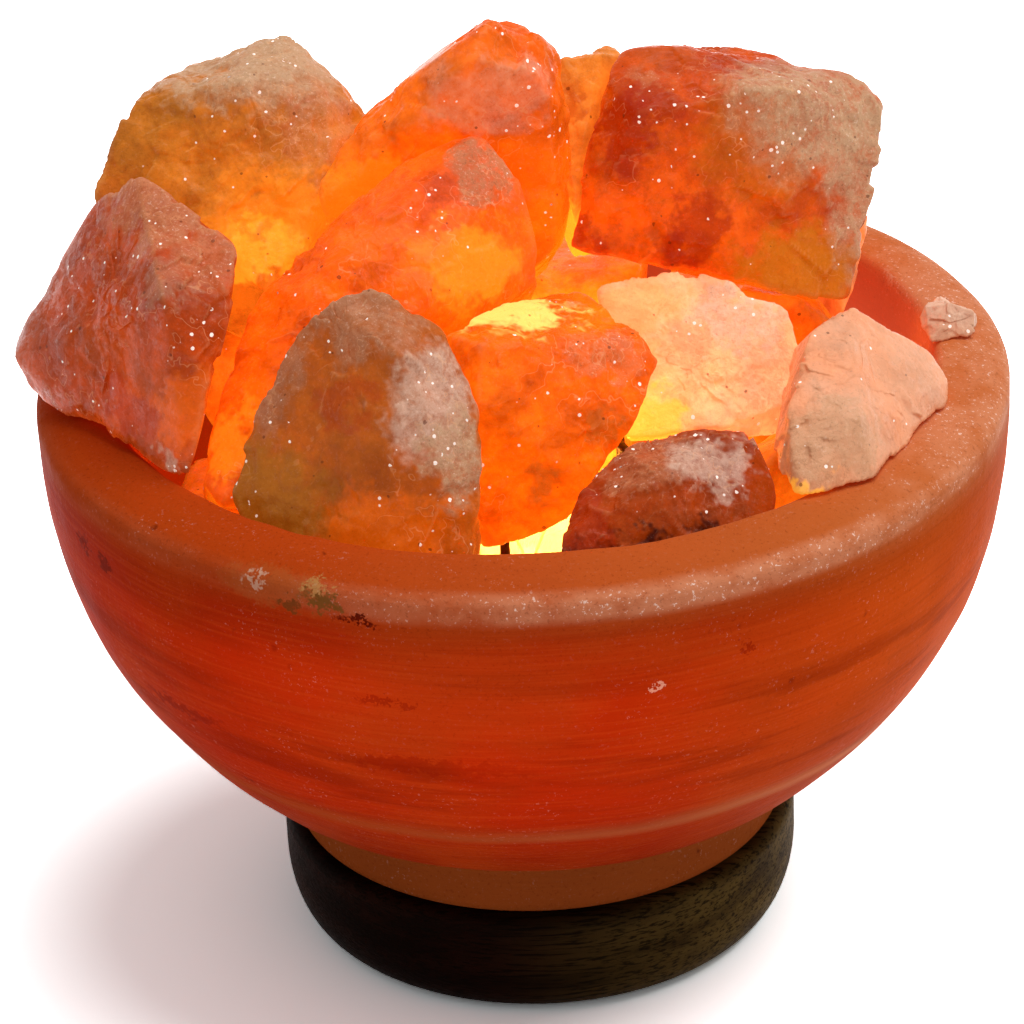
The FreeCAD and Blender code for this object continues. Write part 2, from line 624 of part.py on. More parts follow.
STONES = {
    "stone_back_left": [
        (-46, 40, 56), (-38, 38, 51), (-66, 45, 49), (-79, 25, 48), (-55, 22, 53),
        (-37, 25, 49), (-30, 30, 42), (-86, 14, 33), (-38, 8, 29), (-52, 0, 17),
        (-84, 10, 16), (-80, 32, 0), (-45, 52, -2), (-30, 40, -2), (-66, 52, 30), (-48, 6, -2)],
    "stone_left": [
        (-75, -8, 47), (-84, 0, 38), (-93, 0, 21), (-103, -5, 9), (-103, -10, 8),
        (-98, -13, 0), (-84, -29, 0), (-66, -52, 0), (-60, -48, 18), (-55, -35, 33),
        (-55, -25, 38), (-69, -40, 34), (-88, 10, 0), (-60, -4, 30), (-64, -2, 4)],
    "stone_top": [
        (-4, 12, 68), (-12, 10, 63), (-22, 12, 55), (-29, 14, 49), (-40, 8, 37),
        (-39, 5, 31), (6, 15, 64), (11, 20, 58), (12, 18, 48), (13, 15, 38), (11, 12, 27),
        (8, 8, 20), (-8, 4, 63), (7, 6, 59), (-5, 36, 60), (-28, 34, 40), (-32, 26, 8),
        (8, 34, 50), (10, 32, 6), (-10, 8, 4), (-8, 26, -1)],
    "stone_long": [
        (-6, 3, 48), (0, 0, 42), (-17, 5, 46), (-23, 2, 43), (-29, -2, 39), (-43, -14, 29),
        (-51, -20, 26), (-58, -34, 16), (-64, -50, -1), (-60, -57, -3), (-57, -54, 1),
        (4, -10, 19), (4, -8, 27), (-16, -28, 26), (-37, -28, 33), (-64, -30, -19),
        (-46, -34, -19), (-2, 8, 2), (-34, 2, 4), (-2, -12, 0)],
    "stone_sliver": [
        (10, 30, 53), (19, 30, 54), (23, 32, 52), (16, 22, 44), (12, 14, 27), (9, 10, 20),
        (22, 40, 50), (26, 36, 20), (8, 34, 28), (20, 30, 8), (12, 20, 10), (10, 34, 12)],
    "stone_back_right": [
        (23, 28, 54), (35, 28, 54), (47, 26, 51), (60, 30, 47), (72, 32, 45), (77, 28, 40),
        (76, 22, 32), (70, 10, 9), (67, 6, 4), (57, 3, 8), (41, 2, 16), (10, 6, 20),
        (15, 14, 38), (19, 22, 51), (50, 14, 50), (26, 10, 48), (72, 42, 30), (62, 52, 22),
        (66, 40, 4), (22, 44, 20), (30, 40, 4), (40, 46, 48)],
    "stone_front_left": [
        (-29, -48, 39), (-24, -50, 38), (-36, -50, 37), (-15, -52, 31), (-9, -58, 19),
        (-8, -62, 12), (-8, -66, 3), (-11, -74, -10), (-28, -76, -12), (-53, -66, -10),
        (-58, -58, -1), (-50, -50, 19), (-46, -48, 27), (-23, -62, 32), (-14, -48, -46),
        (-40, -54, -46), (-50, -42, -30), (-26, -34, 20), (-12, -36, 10), (-44, -38, 16),
        (-18, -32, -20), (-38, -34, -20)],
    "stone_middle": [
        (-16, -32, 21), (0, -10, 18), (13, -8, 17), (16, -14, 14), (24, -24, 15),
        (27, -28, 11), (22, -38, 3), (11, -46, -6), (7, -46, -16), (-3, -46, -20),
        (-10, -48, -22), (-8, -40, 22), (-9, -46, 13), (-12, -30, -22), (0, -12, -18),
        (16, -14, -14)],
    "stone_pale": [
        (15, 3, 15), (21, 3, 16), (35, 3, 16), (43, 0, 12), (55, -2, 9), (57, -8, -1),
        (53, -14, -8), (35, -20, -10), (19, -20, -12), (16, -6, 7), (22, 12, 0),
        (52, 8, -2), (30, -12, -34), (54, -4, -26), (32, 8, -24)],
    "stone_front_right": [
        (9, -66, 0), (18, -56, 7), (24, -54, 7), (43, -50, 7), (46, -54, 0), (48, -60, -2),
        (47, -64, -5), (33, -77, -8), (13, -78, -8), (6, -76, -6), (7, -70, -2),
        (23, -70, 6), (10, -62, -34), (44, -60, -34), (14, -46, -20), (42, -44, -16),
        (28, -56, -46)],
    "stone_right": [
        (65, -30, 22), (72, -28, 15), (82, -24, 8), (85, -27, 3), (84, -31, 0), (57, -38, 20),
        (54, -46, 17), (51, -54, 12), (50, -64, 4), (51, -70, 0), (56, -66, 0), (67, -62, 0),
        (74, -46, 0), (64, -58, 11), (80, -10, 0), (54, -18, 6), (48, -48, 0), (56, -22, 0)],
    "stone_pebble": [
        (82, 3, 2), (83, 3, 5), (88, 2, 6), (93, 2, 4), (93, 0, 1), (84, -3, 0),
        (91, -1, 0), (94, 6, 0), (90, 10, 0), (83, 9, 0), (86, 8, 5)],
    "stone_rear": [
        (73, 45, 18), (74, 44, 14), (75, 37, 8), (72, 28, 3), (68, 18, -2), (66, 52, 14),
        (60, 58, 6), (60, 44, 16), (66, 50, -16), (52, 52, -20), (60, 30, -22), (60, 16, -12)],
    "stone_under_right": [
        (40, 10, 6), (43, 10, 8), (60, 10, 4), (66, 14, -4), (70, 20, -20), (62, 16, -46),
        (34, 14, -52), (30, 20, -2), (34, 44, 4), (56, 40, 4), (50, 46, -40), (30, 36, -50)],
    "stone_under_left": [
        (-70, 4, -6), (-74, 20, 2), (-64, 42, 2), (-40, 58, 2), (-26, 50, 2),
        (-24, 28, 2), (-28, 8, -4), (-44, -2, -2), (-54, 4, -40), (-30, 8, -62),
        (-56, 26, -44), (-40, 44, -50), (-27, 30, -64)],
    "stone_under_back": [
        (-20, 26, 0), (2, 20, 6), (24, 20, 8), (28, 40, 4), (26, 60, -2), (0, 76, -4),
        (-22, 62, -4), (-16, 28, -62), (16, 28, -62), (24, 48, -56), (-20, 50, -56),
        (0, 66, -40)],
    "stone_under_front": [
        (-32, -10, -22), (-62, -20, -14), (-75, -32, -22), (-68, -4, -18), (-42, -34, -24),
        (-56, -32, -14), (-30, -14, -62), (-50, -18, -48), (-36, -24, -58), (-36, -3, -40)],
    "stone_side": [
        (34, -30, -14), (40, -46, -10), (54, -42, 0), (66, -34, 0), (76, -22, 0),
        (74, -4, -6), (60, 4, -20), (32, -24, -62), (48, -36, -48), (60, -14, -44),
        (34, -8, -62), (48, 6, -50)],
}


def spot(corner):
    """A place in the pile, fitted to the bowl's own mouth and depth."""
    wide = MOUTH_RADIUS / NOTED_MOUTH
    deep = CAVITY_DEPTH / NOTED_DEPTH
    x, y, rise = corner
    return Vector(x * wide, y * wide, RIM_Z + rise * (wide if rise > 0 else deep))


def place(corner):
    """A stone's corner, held off the bowl's wall, floor and rim by the seat gap."""
    point = spot(corner)
    if corner[2] >= 0:
        return point + Vector(0, 0, SEAT_GAP)
    radius = math.hypot(point.x, point.y)
    z = max(point.z, FLOOR_Z + SEAT_GAP)
    wall = cavity_radius(min(z, RIM_Z - MOUTH_ROUND), SEAT_GAP)
    return at(min(radius, wall), math.degrees(math.atan2(point.y, point.x)), z)


def ring_of(points, normal):
    """The corners of a flat face in order: the hull of points that lie in one plane."""
    across = (points[1] - points[0]).normalize()
    along = normal.cross(across)
    flat = sorted((point.dot(across), point.dot(along), number)
                  for number, point in enumerate(points))

    def half(row):
        chain = []
        for here in row:
            while len(chain) > 1:
                (x0, y0, _), (x1, y1, _) = chain[-2:]
                if (x1 - x0) * (here[1] - y0) - (y1 - y0) * (here[0] - x0) > 1e-6:
                    break
                chain.pop()
            chain.append(here)
        return chain[:-1]

    return [points[number] for _, _, number in half(flat) + half(flat[::-1])]


def lump(points):
    """The flat-faced solid round a set of corners: a face wherever all the rest lie behind."""
    flatness = 1e-6
    faces = []
    seen = set()
    for first, second, third in itertools.combinations(points, 3):
        normal = (second - first).cross(third - first)
        if normal.Length < flatness:
            continue
        normal.normalize()
        offsets = [normal.dot(point - first) for point in points]
        if max(offsets) > flatness and min(offsets) < -flatness:
            continue
        on_face = tuple(number for number, offset in enumerate(offsets)
                        if abs(offset) <= flatness)
        if on_face in seen:
            continue
        seen.add(on_face)
        ring = ring_of([points[number] for number in on_face], normal)
        faces.append(Part.Face(Part.makePolygon(ring + ring[:1])))
    solid = Part.Solid(Part.makeShell(faces))
    if solid.Volume < 0:
        solid.reverse()
    return solid


def beyond(point, direction):
    """A block that fills everything past a flat face, for breaking a stone off there."""
    size = 4 * BOWL_RADIUS
    block = Part.makeBox(size, size, size, Vector(-size / 2, -size / 2, 0))
    turn = FreeCAD.Rotation(UP, direction)
    return block.transformed(FreeCAD.Placement(point, turn).toMatrix())


# Where two stones lie against each other: a place between them and the way from the
# first to the second. Each is broken off flat there, half the seat gap from the place.
CONTACTS = [
    ("stone_back_left", "stone_top", (-34, 18, 35), (5, -3, 0)),
    ("stone_back_left", "stone_under_left", (-55, 25, 0.15), (0, 0, -1)),
    ("stone_back_right", "stone_pale", (38, 2.5, 14), (0, -1, 0)),
    ("stone_back_right", "stone_rear", (68, 36, 8), (1, 1, -2)),
    ("stone_sliver", "stone_back_right", (13, 14, 34), (10, -6, 0)),
    ("stone_middle", "stone_pale", (21, -18, -4), (2, 2, -1)),
    ("stone_back_right", "stone_under_right", (48, 14, 6), (-1, -2, -6)),
    ("stone_front_left", "stone_long", (-36, -43, 10), (-5, 9, 0)),
    ("stone_front_left", "stone_middle", (-12, -44, 0), (3, 2, 0)),
    ("stone_front_right", "stone_side", (42, -47, -12), (0, 1, 0)),
    ("stone_middle", "stone_long", (-10, -24, 18), (-6, 5, 5)),
    ("stone_long", "stone_top", (-15, 6, 30), (0, 10, 1)),
    ("stone_long", "stone_under_front", (-52, -26, -17), (0, 0, -1)),
    ("stone_pale", "stone_side", (46, -14, -14), (0, -1, -2)),
    ("stone_under_right", "stone_rear", (64, 26, -10), (5, 2, 0)),
    ("stone_side", "stone_right", (64, -34, 0.15), (0, 0, 1)),
    ("stone_top", "stone_sliver", (12, 14, 30), (3, 1, 0)),
    ("stone_top", "stone_under_back", (-4, 24, 3), (0, 1, -3)),
]

# Stones that lie on the wire guard: the bearing and rise of the face that rests on it.
ON_GUARD = [
    ("stone_middle", -102, 60),
    ("stone_pale", -20, 45),
    ("stone_under_back", 90, 8),
]


def stones():
    """All the stones, each with its corners placed and its contact faces broken off."""
    pile = {name: lump([place(corner) for corner in corners])
            for name, corners in STONES.items()}
    for first, second, corner, direction in CONTACTS:
        towards = Vector(*direction).normalize()
        point = spot(corner)
        half_gap = towards * (SEAT_GAP / 2)
        pile[first] = pile[first].cut(beyond(point - half_gap, towards))
        pile[second] = pile[second].cut(beyond(point + half_gap, towards * -1))
    for name, bearing, rise in ON_GUARD:
        outward = at(math.cos(math.radians(rise)), bearing, math.sin(math.radians(rise)))
        point = outward * (guard_reach(rise) + SEAT_GAP)
        pile[name] = pile[name].cut(beyond(point, outward * -1))
    return pile


# ------------------------------------------------------------------ write every sub-part
LAMP = {
    "salt_bowl": salt_bowl,
    "wooden_base": wooden_base,
    "fixing_screws": fixing_screws,
    "fixing_washers": fixing_washers,
    "wall_plugs": wall_plugs,
    "rubber_feet": rubber_feet,
    "cover_plate": cover_plate,
    "cover_screws": cover_screws,
    "cord_grommet": cord_grommet,
    "holder_plate": holder_plate,
    "plate_screws": plate_screws,
    "holder_shell": holder_shell,
    "contact_block": contact_block,
    "terminal_screws": terminal_screws,
    "thread_shell": thread_shell,
    "centre_contact": centre_contact,
    "spring_clips": spring_clips,
    "bulb_cap": bulb_cap,
    "bulb_insulator": bulb_insulator,
    "bulb_tip": bulb_tip,
    "bulb_glass": bulb_glass,
    "bulb_stem": bulb_stem,
    "lead_wires": lead_wires,
    "bulb_filament": bulb_filament,
    "wire_guard": wire_guard,
}

os.makedirs("parts", exist_ok=True)
for node, build in LAMP.items():
    save(node, build())
for node, stone in stones().items():
    save(node, stone)
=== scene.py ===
# A salt crystal lamp: a turned bowl of rock salt on a dark wooden base, a small bulb under a
# wire guard in the bowl, and a heap of loose salt lumps over the guard. All sizes in metres.
import math

import bpy
import numpy as np
from mathutils import Matrix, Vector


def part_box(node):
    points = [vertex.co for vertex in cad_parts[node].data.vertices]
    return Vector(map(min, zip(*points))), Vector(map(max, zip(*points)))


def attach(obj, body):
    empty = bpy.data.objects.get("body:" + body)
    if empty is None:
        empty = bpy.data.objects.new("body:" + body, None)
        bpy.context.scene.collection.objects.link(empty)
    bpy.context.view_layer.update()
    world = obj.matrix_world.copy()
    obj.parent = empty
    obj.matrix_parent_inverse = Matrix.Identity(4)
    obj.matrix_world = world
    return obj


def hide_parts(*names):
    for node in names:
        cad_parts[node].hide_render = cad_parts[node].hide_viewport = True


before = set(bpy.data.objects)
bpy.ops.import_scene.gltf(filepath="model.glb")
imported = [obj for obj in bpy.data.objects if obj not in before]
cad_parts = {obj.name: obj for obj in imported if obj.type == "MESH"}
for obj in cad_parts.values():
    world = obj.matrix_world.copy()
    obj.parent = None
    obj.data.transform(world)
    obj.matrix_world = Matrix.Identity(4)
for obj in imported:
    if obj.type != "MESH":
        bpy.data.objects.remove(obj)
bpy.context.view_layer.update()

# ---------------------------------------------------------------------------------------
# The bowl. It is turned from one block of orange rock salt: a full round side, a thick
# frosted lip, a rough-cut hollow and a low foot ring, with a hole for the lamp in its floor.
# The tool leaves fine level lines, and the salt has darker red streaks and a few dark specks.
# ---------------------------------------------------------------------------------------
MM = 0.001
RIM_RADIUS = 0.100
SIDE_TOP = 0.1232
SIDE_END = 0.0457
SIDE_REACH = 0.1265
SIDE_POWER = 2.64
SIDE_ROOT = 0.83
LIP_WIDTH = 0.0136
LIP_RISE = 0.0048
MOUTH_RADIUS = 0.0845
MOUTH_TOP = 0.1261
FLOOR_RADIUS = 0.036
FLOOR_HEIGHT = 0.064
HOLLOW_BULGE = 0.013
HOLE_RADIUS = 0.021
FOOT_RADIUS = 0.0524
FOOT_TOP = 0.0391
FOOT_SEAT = 0.0253
SIDE_DENT = 0.00035
SIDE_DENT_SPAN = 0.030
HOLLOW_CHIP = 0.0011
HOLLOW_CHIP_SPAN = 0.012
LIP_WEAR = 0.0005
LIP_WEAR_SPAN = 0.016
SIDE_EDGE = 0.054
HOLLOW_EDGE = 0.083
LIP_RIDGE = 0.088
LIP_HALF_TURNS = 0.63
BOWL_TURNS = 420
BULB_CENTRE = (0.0, 0.0, 0.093)

SLOPES = np.random.default_rng(7).normal(size=(256, 3))
SLOPES /= np.linalg.norm(SLOPES, axis=1, keepdims=True)


def grain(points, size, seed):
    """Smooth noise from about -1 to 1. Each corner of a cubic lattice of the given size has a
    random slope; the eight slopes round a point are blended with the curve 6t^5-15t^4+10t^3."""
    at = points / size + 11.37 * seed
    cell = np.floor(at).astype(np.int64)
    part = at - cell
    ease = part ** 3 * (part * (part * 6 - 15) + 10)
    total = np.zeros(len(points))
    for corner in np.ndindex(2, 2, 2):
        key = cell + corner
        mixed = key[:, 0] * 73856093 ^ key[:, 1] * 19349663 ^ key[:, 2] * 83492791
        slope = SLOPES[(mixed ^ (mixed >> 11)) & 255]
        weight = np.prod(np.where(np.array(corner) == 1, ease, 1 - ease), axis=1)
        total += weight * np.sum(slope * (part - corner), axis=1)
    return total * 1.7


def rough(points, size, layers, seed, fade=0.5):
    """Several layers of grain added up, each half the size and fade times the height of the last."""
    total = np.zeros(len(points))
    height = 1.0
    for layer in range(layers):
        total += height * grain(points, size / 2 ** layer, seed + layer)
        height *= fade
    return total


def skin(name, rows, ring):
    """A closed mesh over a grid of points, rows by columns. Columns wrap round. With ring the
    rows wrap too, as on a bowl with a hole; otherwise each end row closes on one point. Where
    the sum of the corners' triple products is negative, the columns are reversed, so that all
    faces point outwards."""
    count, turns = rows.shape[:2]
    here = np.arange(count * turns).reshape(count, turns)
    beside = np.roll(here, -1, axis=1)
    if ring:
        quads = np.stack([here, beside, np.roll(beside, -1, axis=0), np.roll(here, -1, axis=0)], axis=-1)
    else:
        quads = np.stack([here[:-1], beside[:-1], beside[1:], here[1:]], axis=-1)
    quads = quads.reshape(-1, 4)
    middle = rows.mean(axis=(0, 1))
    a, b, c, d = (rows.reshape(-1, 3) - middle)[quads].transpose(1, 0, 2)
    if np.sum(np.cross(a, b) * c) + np.sum(np.cross(a, c) * d) < 0:
        rows = rows[:, ::-1]
    points = rows.reshape(-1, 3)
    corners = quads.ravel()
    sizes = np.full(len(quads), 4)
    if not ring:
        first = len(points)
        points = np.vstack([points, rows[0].mean(axis=0), rows[-1].mean(axis=0)])
        low = np.stack([np.full(turns, first), beside[0], here[0]], axis=-1)
        high = np.stack([np.full(turns, first + 1), here[-1], beside[-1]], axis=-1)
        corners = np.concatenate([corners, low.ravel(), high.ravel()])
        sizes = np.concatenate([sizes, np.full(2 * turns, 3)])
    starts = np.concatenate([[0], np.cumsum(sizes)[:-1]])
    mesh = bpy.data.meshes.new(name)
    mesh.vertices.add(len(points))
    mesh.vertices.foreach_set("co", points.ravel())
    mesh.loops.add(len(corners))
    mesh.loops.foreach_set("vertex_index", corners.astype(np.int32))
    mesh.polygons.add(len(sizes))
    mesh.polygons.foreach_set("loop_start", starts.astype(np.int32))
    mesh.polygons.foreach_set("use_smooth", np.ones(len(sizes), dtype=bool))
    mesh.update(calc_edges=True)
    mesh.validate()
    piece = bpy.data.objects.new(name, mesh)
    bpy.context.scene.collection.objects.link(piece)
    return piece


def linear(red, green, blue):
    """A colour from its screen values, 0 to 255, as the linear values that shaders take."""
    screen = np.array([red, green, blue]) / 255
    light = np.where(screen < 0.04045, screen / 12.92, ((screen + 0.055) / 1.055) ** 2.4)
    return (*light.tolist(), 1.0)


def put(tree, kind, values=None, **settings):
    """Adds one shader node. A value that is a socket is linked, and any other one is set."""
    node = tree.nodes.new(kind)
    for key, value in settings.items():
        setattr(node, key, value)
    for key, value in (values or {}).items():
        if isinstance(value, bpy.types.NodeSocket):
            tree.links.new(value, node.inputs[key])
        else:
            node.inputs[key].default_value = value
    return node


def clouds(tree, where, scale, detail=4.0, rough_part=0.55, part="Fac"):
    """Cloudy noise with scale features in a metre."""
    values = {"Vector": where, "Scale": scale, "Detail": detail, "Roughness": rough_part}
    return put(tree, "ShaderNodeTexNoise", values).outputs[part]


def step(tree, value, low, high, start=0.0, end=1.0):
    """A soft step from start to end as the value goes from low to high."""
    values = {"Value": value, "From Min": low, "From Max": high, "To Min": start, "To Max": end}
    return put(tree, "ShaderNodeMapRange", values, interpolation_type="SMOOTHSTEP").outputs[0]


def calc(tree, operation, first, second=0.0):
    """One sum on numbers."""
    return put(tree, "ShaderNodeMath", {0: first, 1: second}, operation=operation).outputs[0]


def shift(tree, operation, first, second):
    """One sum on vectors."""
    return put(tree, "ShaderNodeVectorMath", {0: first, 1: second}, operation=operation).outputs[0]


def blend(tree, mask, under, over):
    """The colour under, with the colour over laid on it where the mask is 1."""
    node = put(tree, "ShaderNodeMix", {0: mask, 6: under, 7: over}, data_type="RGBA")
    return node.outputs[2]


def away(tree, where, centre, sizes=(1.0, 1.0, 1.0)):
    """The distance of a place from a centre, each axis divided by its size."""
    off = shift(tree, "SUBTRACT", where, centre)
    off = shift(tree, "DIVIDE", off, sizes)
    return put(tree, "ShaderNodeVectorMath", {0: off}, operation="LENGTH").outputs["Value"]


def begin(name):
    """A new material: its node tree, its shader and the place on the piece."""
    material = bpy.data.materials.new(name)
    material.use_nodes = True
    tree = material.node_tree
    where = put(tree, "ShaderNodeTexCoord").outputs["Object"]
    return material, tree, tree.nodes["Principled BSDF"], where


def bumped(tree, shader, height, strength, depth, facing=None):
    """Gives the shader fine relief of the given depth, on top of facing if that is given."""
    node = put(tree, "ShaderNodeBump", {"Height": height, "Strength": strength, "Distance": depth})
    if facing is not None:
        tree.links.new(facing, node.inputs["Normal"])
    tree.links.new(node.outputs[0], shader.inputs["Normal"])


# The section of the bowl, as (radius, height) from the foot's seat round the outside, over
# the lip, down the hollow, through the lamp hole and back.
def even(points, count):
    """Points at even steps along a line through the given ones."""
    gaps = np.concatenate([[0], np.cumsum(np.linalg.norm(np.diff(points, axis=0), axis=1))])
    at = np.linspace(0, gaps[-1], count, endpoint=False)
    return np.stack([np.interp(at, gaps, points[:, i]) for i in (0, 1)], axis=1)


heights = np.linspace(SIDE_END, SIDE_TOP, 60)
reach = 1 - ((SIDE_TOP - heights) / SIDE_REACH) ** SIDE_POWER
side = np.stack([RIM_RADIUS * reach ** (1 / SIDE_ROOT), heights], axis=1)
turn = np.linspace(0, math.pi * LIP_HALF_TURNS, 24)
lip_centre = RIM_RADIUS - LIP_WIDTH
lip = np.stack([lip_centre + LIP_WIDTH * np.cos(turn), SIDE_TOP + LIP_RISE * np.sin(turn)], axis=1)
lip = lip[lip[:, 0] > MOUTH_RADIUS + 0.0006]
t = np.linspace(0, 1, 40)[:, None]
mouth = np.array([MOUTH_RADIUS, MOUTH_TOP])
floor_edge = np.array([FLOOR_RADIUS, FLOOR_HEIGHT])
outward = np.array([mouth[1] - floor_edge[1], floor_edge[0] - mouth[0]])
outward /= np.linalg.norm(outward)
hollow = mouth + t * (floor_edge - mouth) + outward * HOLLOW_BULGE * 4 * t * (1 - t)
inside = np.array([[HOLE_RADIUS + 0.001, FLOOR_HEIGHT], [HOLE_RADIUS, FLOOR_HEIGHT - 0.001],
                   [HOLE_RADIUS, FOOT_SEAT], [FOOT_RADIUS - 0.0008, FOOT_SEAT],
                   [FOOT_RADIUS, FOOT_SEAT + 0.0008], [FOOT_RADIUS, FOOT_TOP], side[0]])
section = even(np.vstack([side, lip, hollow, inside]), 232)
angle = np.linspace(0, 2 * math.pi, BOWL_TURNS, endpoint=False)
bowl_rows = np.stack([section[:, None, 0] * np.cos(angle), section[:, None, 0] * np.sin(angle),
                      section[:, None, 1] + 0 * angle], axis=-1)
flat = bowl_rows.reshape(-1, 3)
across, along = np.hypot(flat[:, 0], flat[:, 1]), flat[:, 2]
# Shallow dents in the side and deeper chips in the hollow, both into the salt, and wear on
# top of the lip.
hollow_part = np.clip((HOLLOW_EDGE - across) / 0.006, 0, 1) * (along > FLOOR_HEIGHT - 0.0005)
outer_part = np.clip((across - SIDE_EDGE) / 0.01, 0, 1) * (1 - hollow_part)
dent = SIDE_DENT * (rough(flat, SIDE_DENT_SPAN, 3, 3) - 1.0) * outer_part
dent += HOLLOW_CHIP * (rough(flat, HOLLOW_CHIP_SPAN, 4, 9) - 0.9) * hollow_part
widened = 1 + (dent * np.where(hollow_part > 0.5, -1, 1)) / np.maximum(across, 0.02)
flat[:, 0] *= widened
flat[:, 1] *= widened
lip_part = np.exp(-((across - LIP_RIDGE) / 0.008) ** 2) * (along > 0.120)
flat[:, 2] -= LIP_WEAR * lip_part * np.clip(rough(flat, LIP_WEAR_SPAN, 3, 5) + 0.5, 0, 2)
bowl = skin("turned_bowl", flat.reshape(bowl_rows.shape), ring=True)

# The finish: drifting tints, fine level lines, darker streaks round the belly, a paler lip,
# painted light that makes the side and the lip more pale towards the right, frost with a
# painted highlight on the shoulder and the right rim, painted glints on the grit, dark specks
# and single marks.
salt, tree, shader, where = begin("bowl_salt_turned")
split = put(tree, "ShaderNodeSeparateXYZ", {0: where}).outputs
out = put(tree, "ShaderNodeVectorMath", {0: shift(tree, "MULTIPLY", where, (1, 1, 0))},
          operation="LENGTH").outputs["Value"]
drift = clouds(tree, where, 22, 5)
level = shift(tree, "MULTIPLY", where, (16, 16, 120))
streaks = clouds(tree, level, 1.0, 6, 0.6)
lines = clouds(tree, shift(tree, "MULTIPLY", where, (40, 40, 1500)), 1.0, 3)
fine = clouds(tree, where, 420, 4, 0.7)
colour = blend(tree, step(tree, drift, 0.35, 0.65), linear(172, 58, 14), linear(146, 36, 7))
# Painted light: within the drifting tints, the salt is made more pale towards the right, where the light
# falls.
drift_and_painted_light = calc(tree, "MULTIPLY", step(tree, split[0], 0.020, 0.095),
             step(tree, drift, 0.25, 0.6, 0.4, 0.9))
colour = blend(tree, drift_and_painted_light, colour, linear(186, 84, 24))
colour = blend(tree, step(tree, lines, 0.50, 0.64, 0.0, 0.12), colour, linear(206, 92, 34))
colour = blend(tree, step(tree, lines, 0.46, 0.34, 0.0, 0.14), colour, linear(96, 24, 6))
band = calc(tree, "MULTIPLY", step(tree, split[2], 0.056, 0.072), step(tree, split[2], 0.116, 0.088))
dark = calc(tree, "MULTIPLY", band, step(tree, streaks, 0.50, 0.68))
colour = blend(tree, calc(tree, "MULTIPLY", dark, 0.55), colour, linear(92, 16, 4))
top = step(tree, split[2], 0.1150, 0.1255)
mottle = clouds(tree, where, 75, 4, 0.65)
# Painted light: the lip and the hollow get more pale tints towards the right, where the light falls.
painted_light_right = step(tree, split[0], -0.060, 0.085)
colour = blend(tree, calc(tree, "MULTIPLY", top, 0.75), colour,
               blend(tree, painted_light_right, linear(186, 70, 18), linear(204, 108, 52)))
# Painted highlight, partly frost: a pale sheen over the shoulder and the right rim, fading towards the left.
shoulder_highlight = calc(tree, "MULTIPLY", step(tree, split[2], 0.1192, 0.1218), step(tree, out, 0.0960, 0.0990))
right_rim_highlight = calc(tree, "MULTIPLY", top, step(tree, split[0], 0.055, 0.092, 0, 0.8))
frost_and_highlight = calc(tree, "MAXIMUM", shoulder_highlight, right_rim_highlight)
frost_and_highlight = calc(tree, "MULTIPLY", frost_and_highlight, step(tree, split[0], -0.055, 0.010, 0.10, 1.0))
frost_and_highlight = calc(tree, "MULTIPLY", frost_and_highlight, step(tree, mottle, 0.33, 0.60, 0.25, 1.0))
colour = blend(tree, calc(tree, "MULTIPLY", frost_and_highlight, 0.8), colour, linear(226, 148, 108))
ring_part = step(tree, split[2], 0.046, 0.040)
colour = blend(tree, calc(tree, "MULTIPLY", ring_part, 0.7), colour, linear(160, 84, 34))
grit = clouds(tree, where, 1100, 2, 0.8)
# Painted glints: near-white specks of grit over the frosted band and some of the mottle.
bowl_painted_glints = calc(tree, "MAXIMUM", frost_and_highlight, step(tree, mottle, 0.5, 0.7, 0.03, 0.20))
bowl_painted_glints = calc(tree, "MULTIPLY", step(tree, grit, 0.60, 0.70), bowl_painted_glints)
colour = blend(tree, bowl_painted_glints, colour, linear(255, 222, 204))
colour = blend(tree, step(tree, grit, 0.42, 0.30, 0.0, 0.30), colour, linear(104, 30, 8))
speck_shape = put(tree, "ShaderNodeTexVoronoi", {"Vector": where, "Scale": 260.0}).outputs
speck = calc(tree, "MULTIPLY", step(tree, speck_shape["Distance"], 0.30, 0.12),
             step(tree, mottle, 0.62, 0.70))
colour = blend(tree, calc(tree, "MULTIPLY", speck, 0.7), colour, linear(70, 16, 6))
wander = shift(tree, "MULTIPLY", shift(tree, "SUBTRACT", clouds(tree, where, 300, 3, 0.8, "Color"),
                                       (0.5, 0.5, 0.5)), (0.012, 0.012, 0.010))
jagged = shift(tree, "ADD", where, wander)
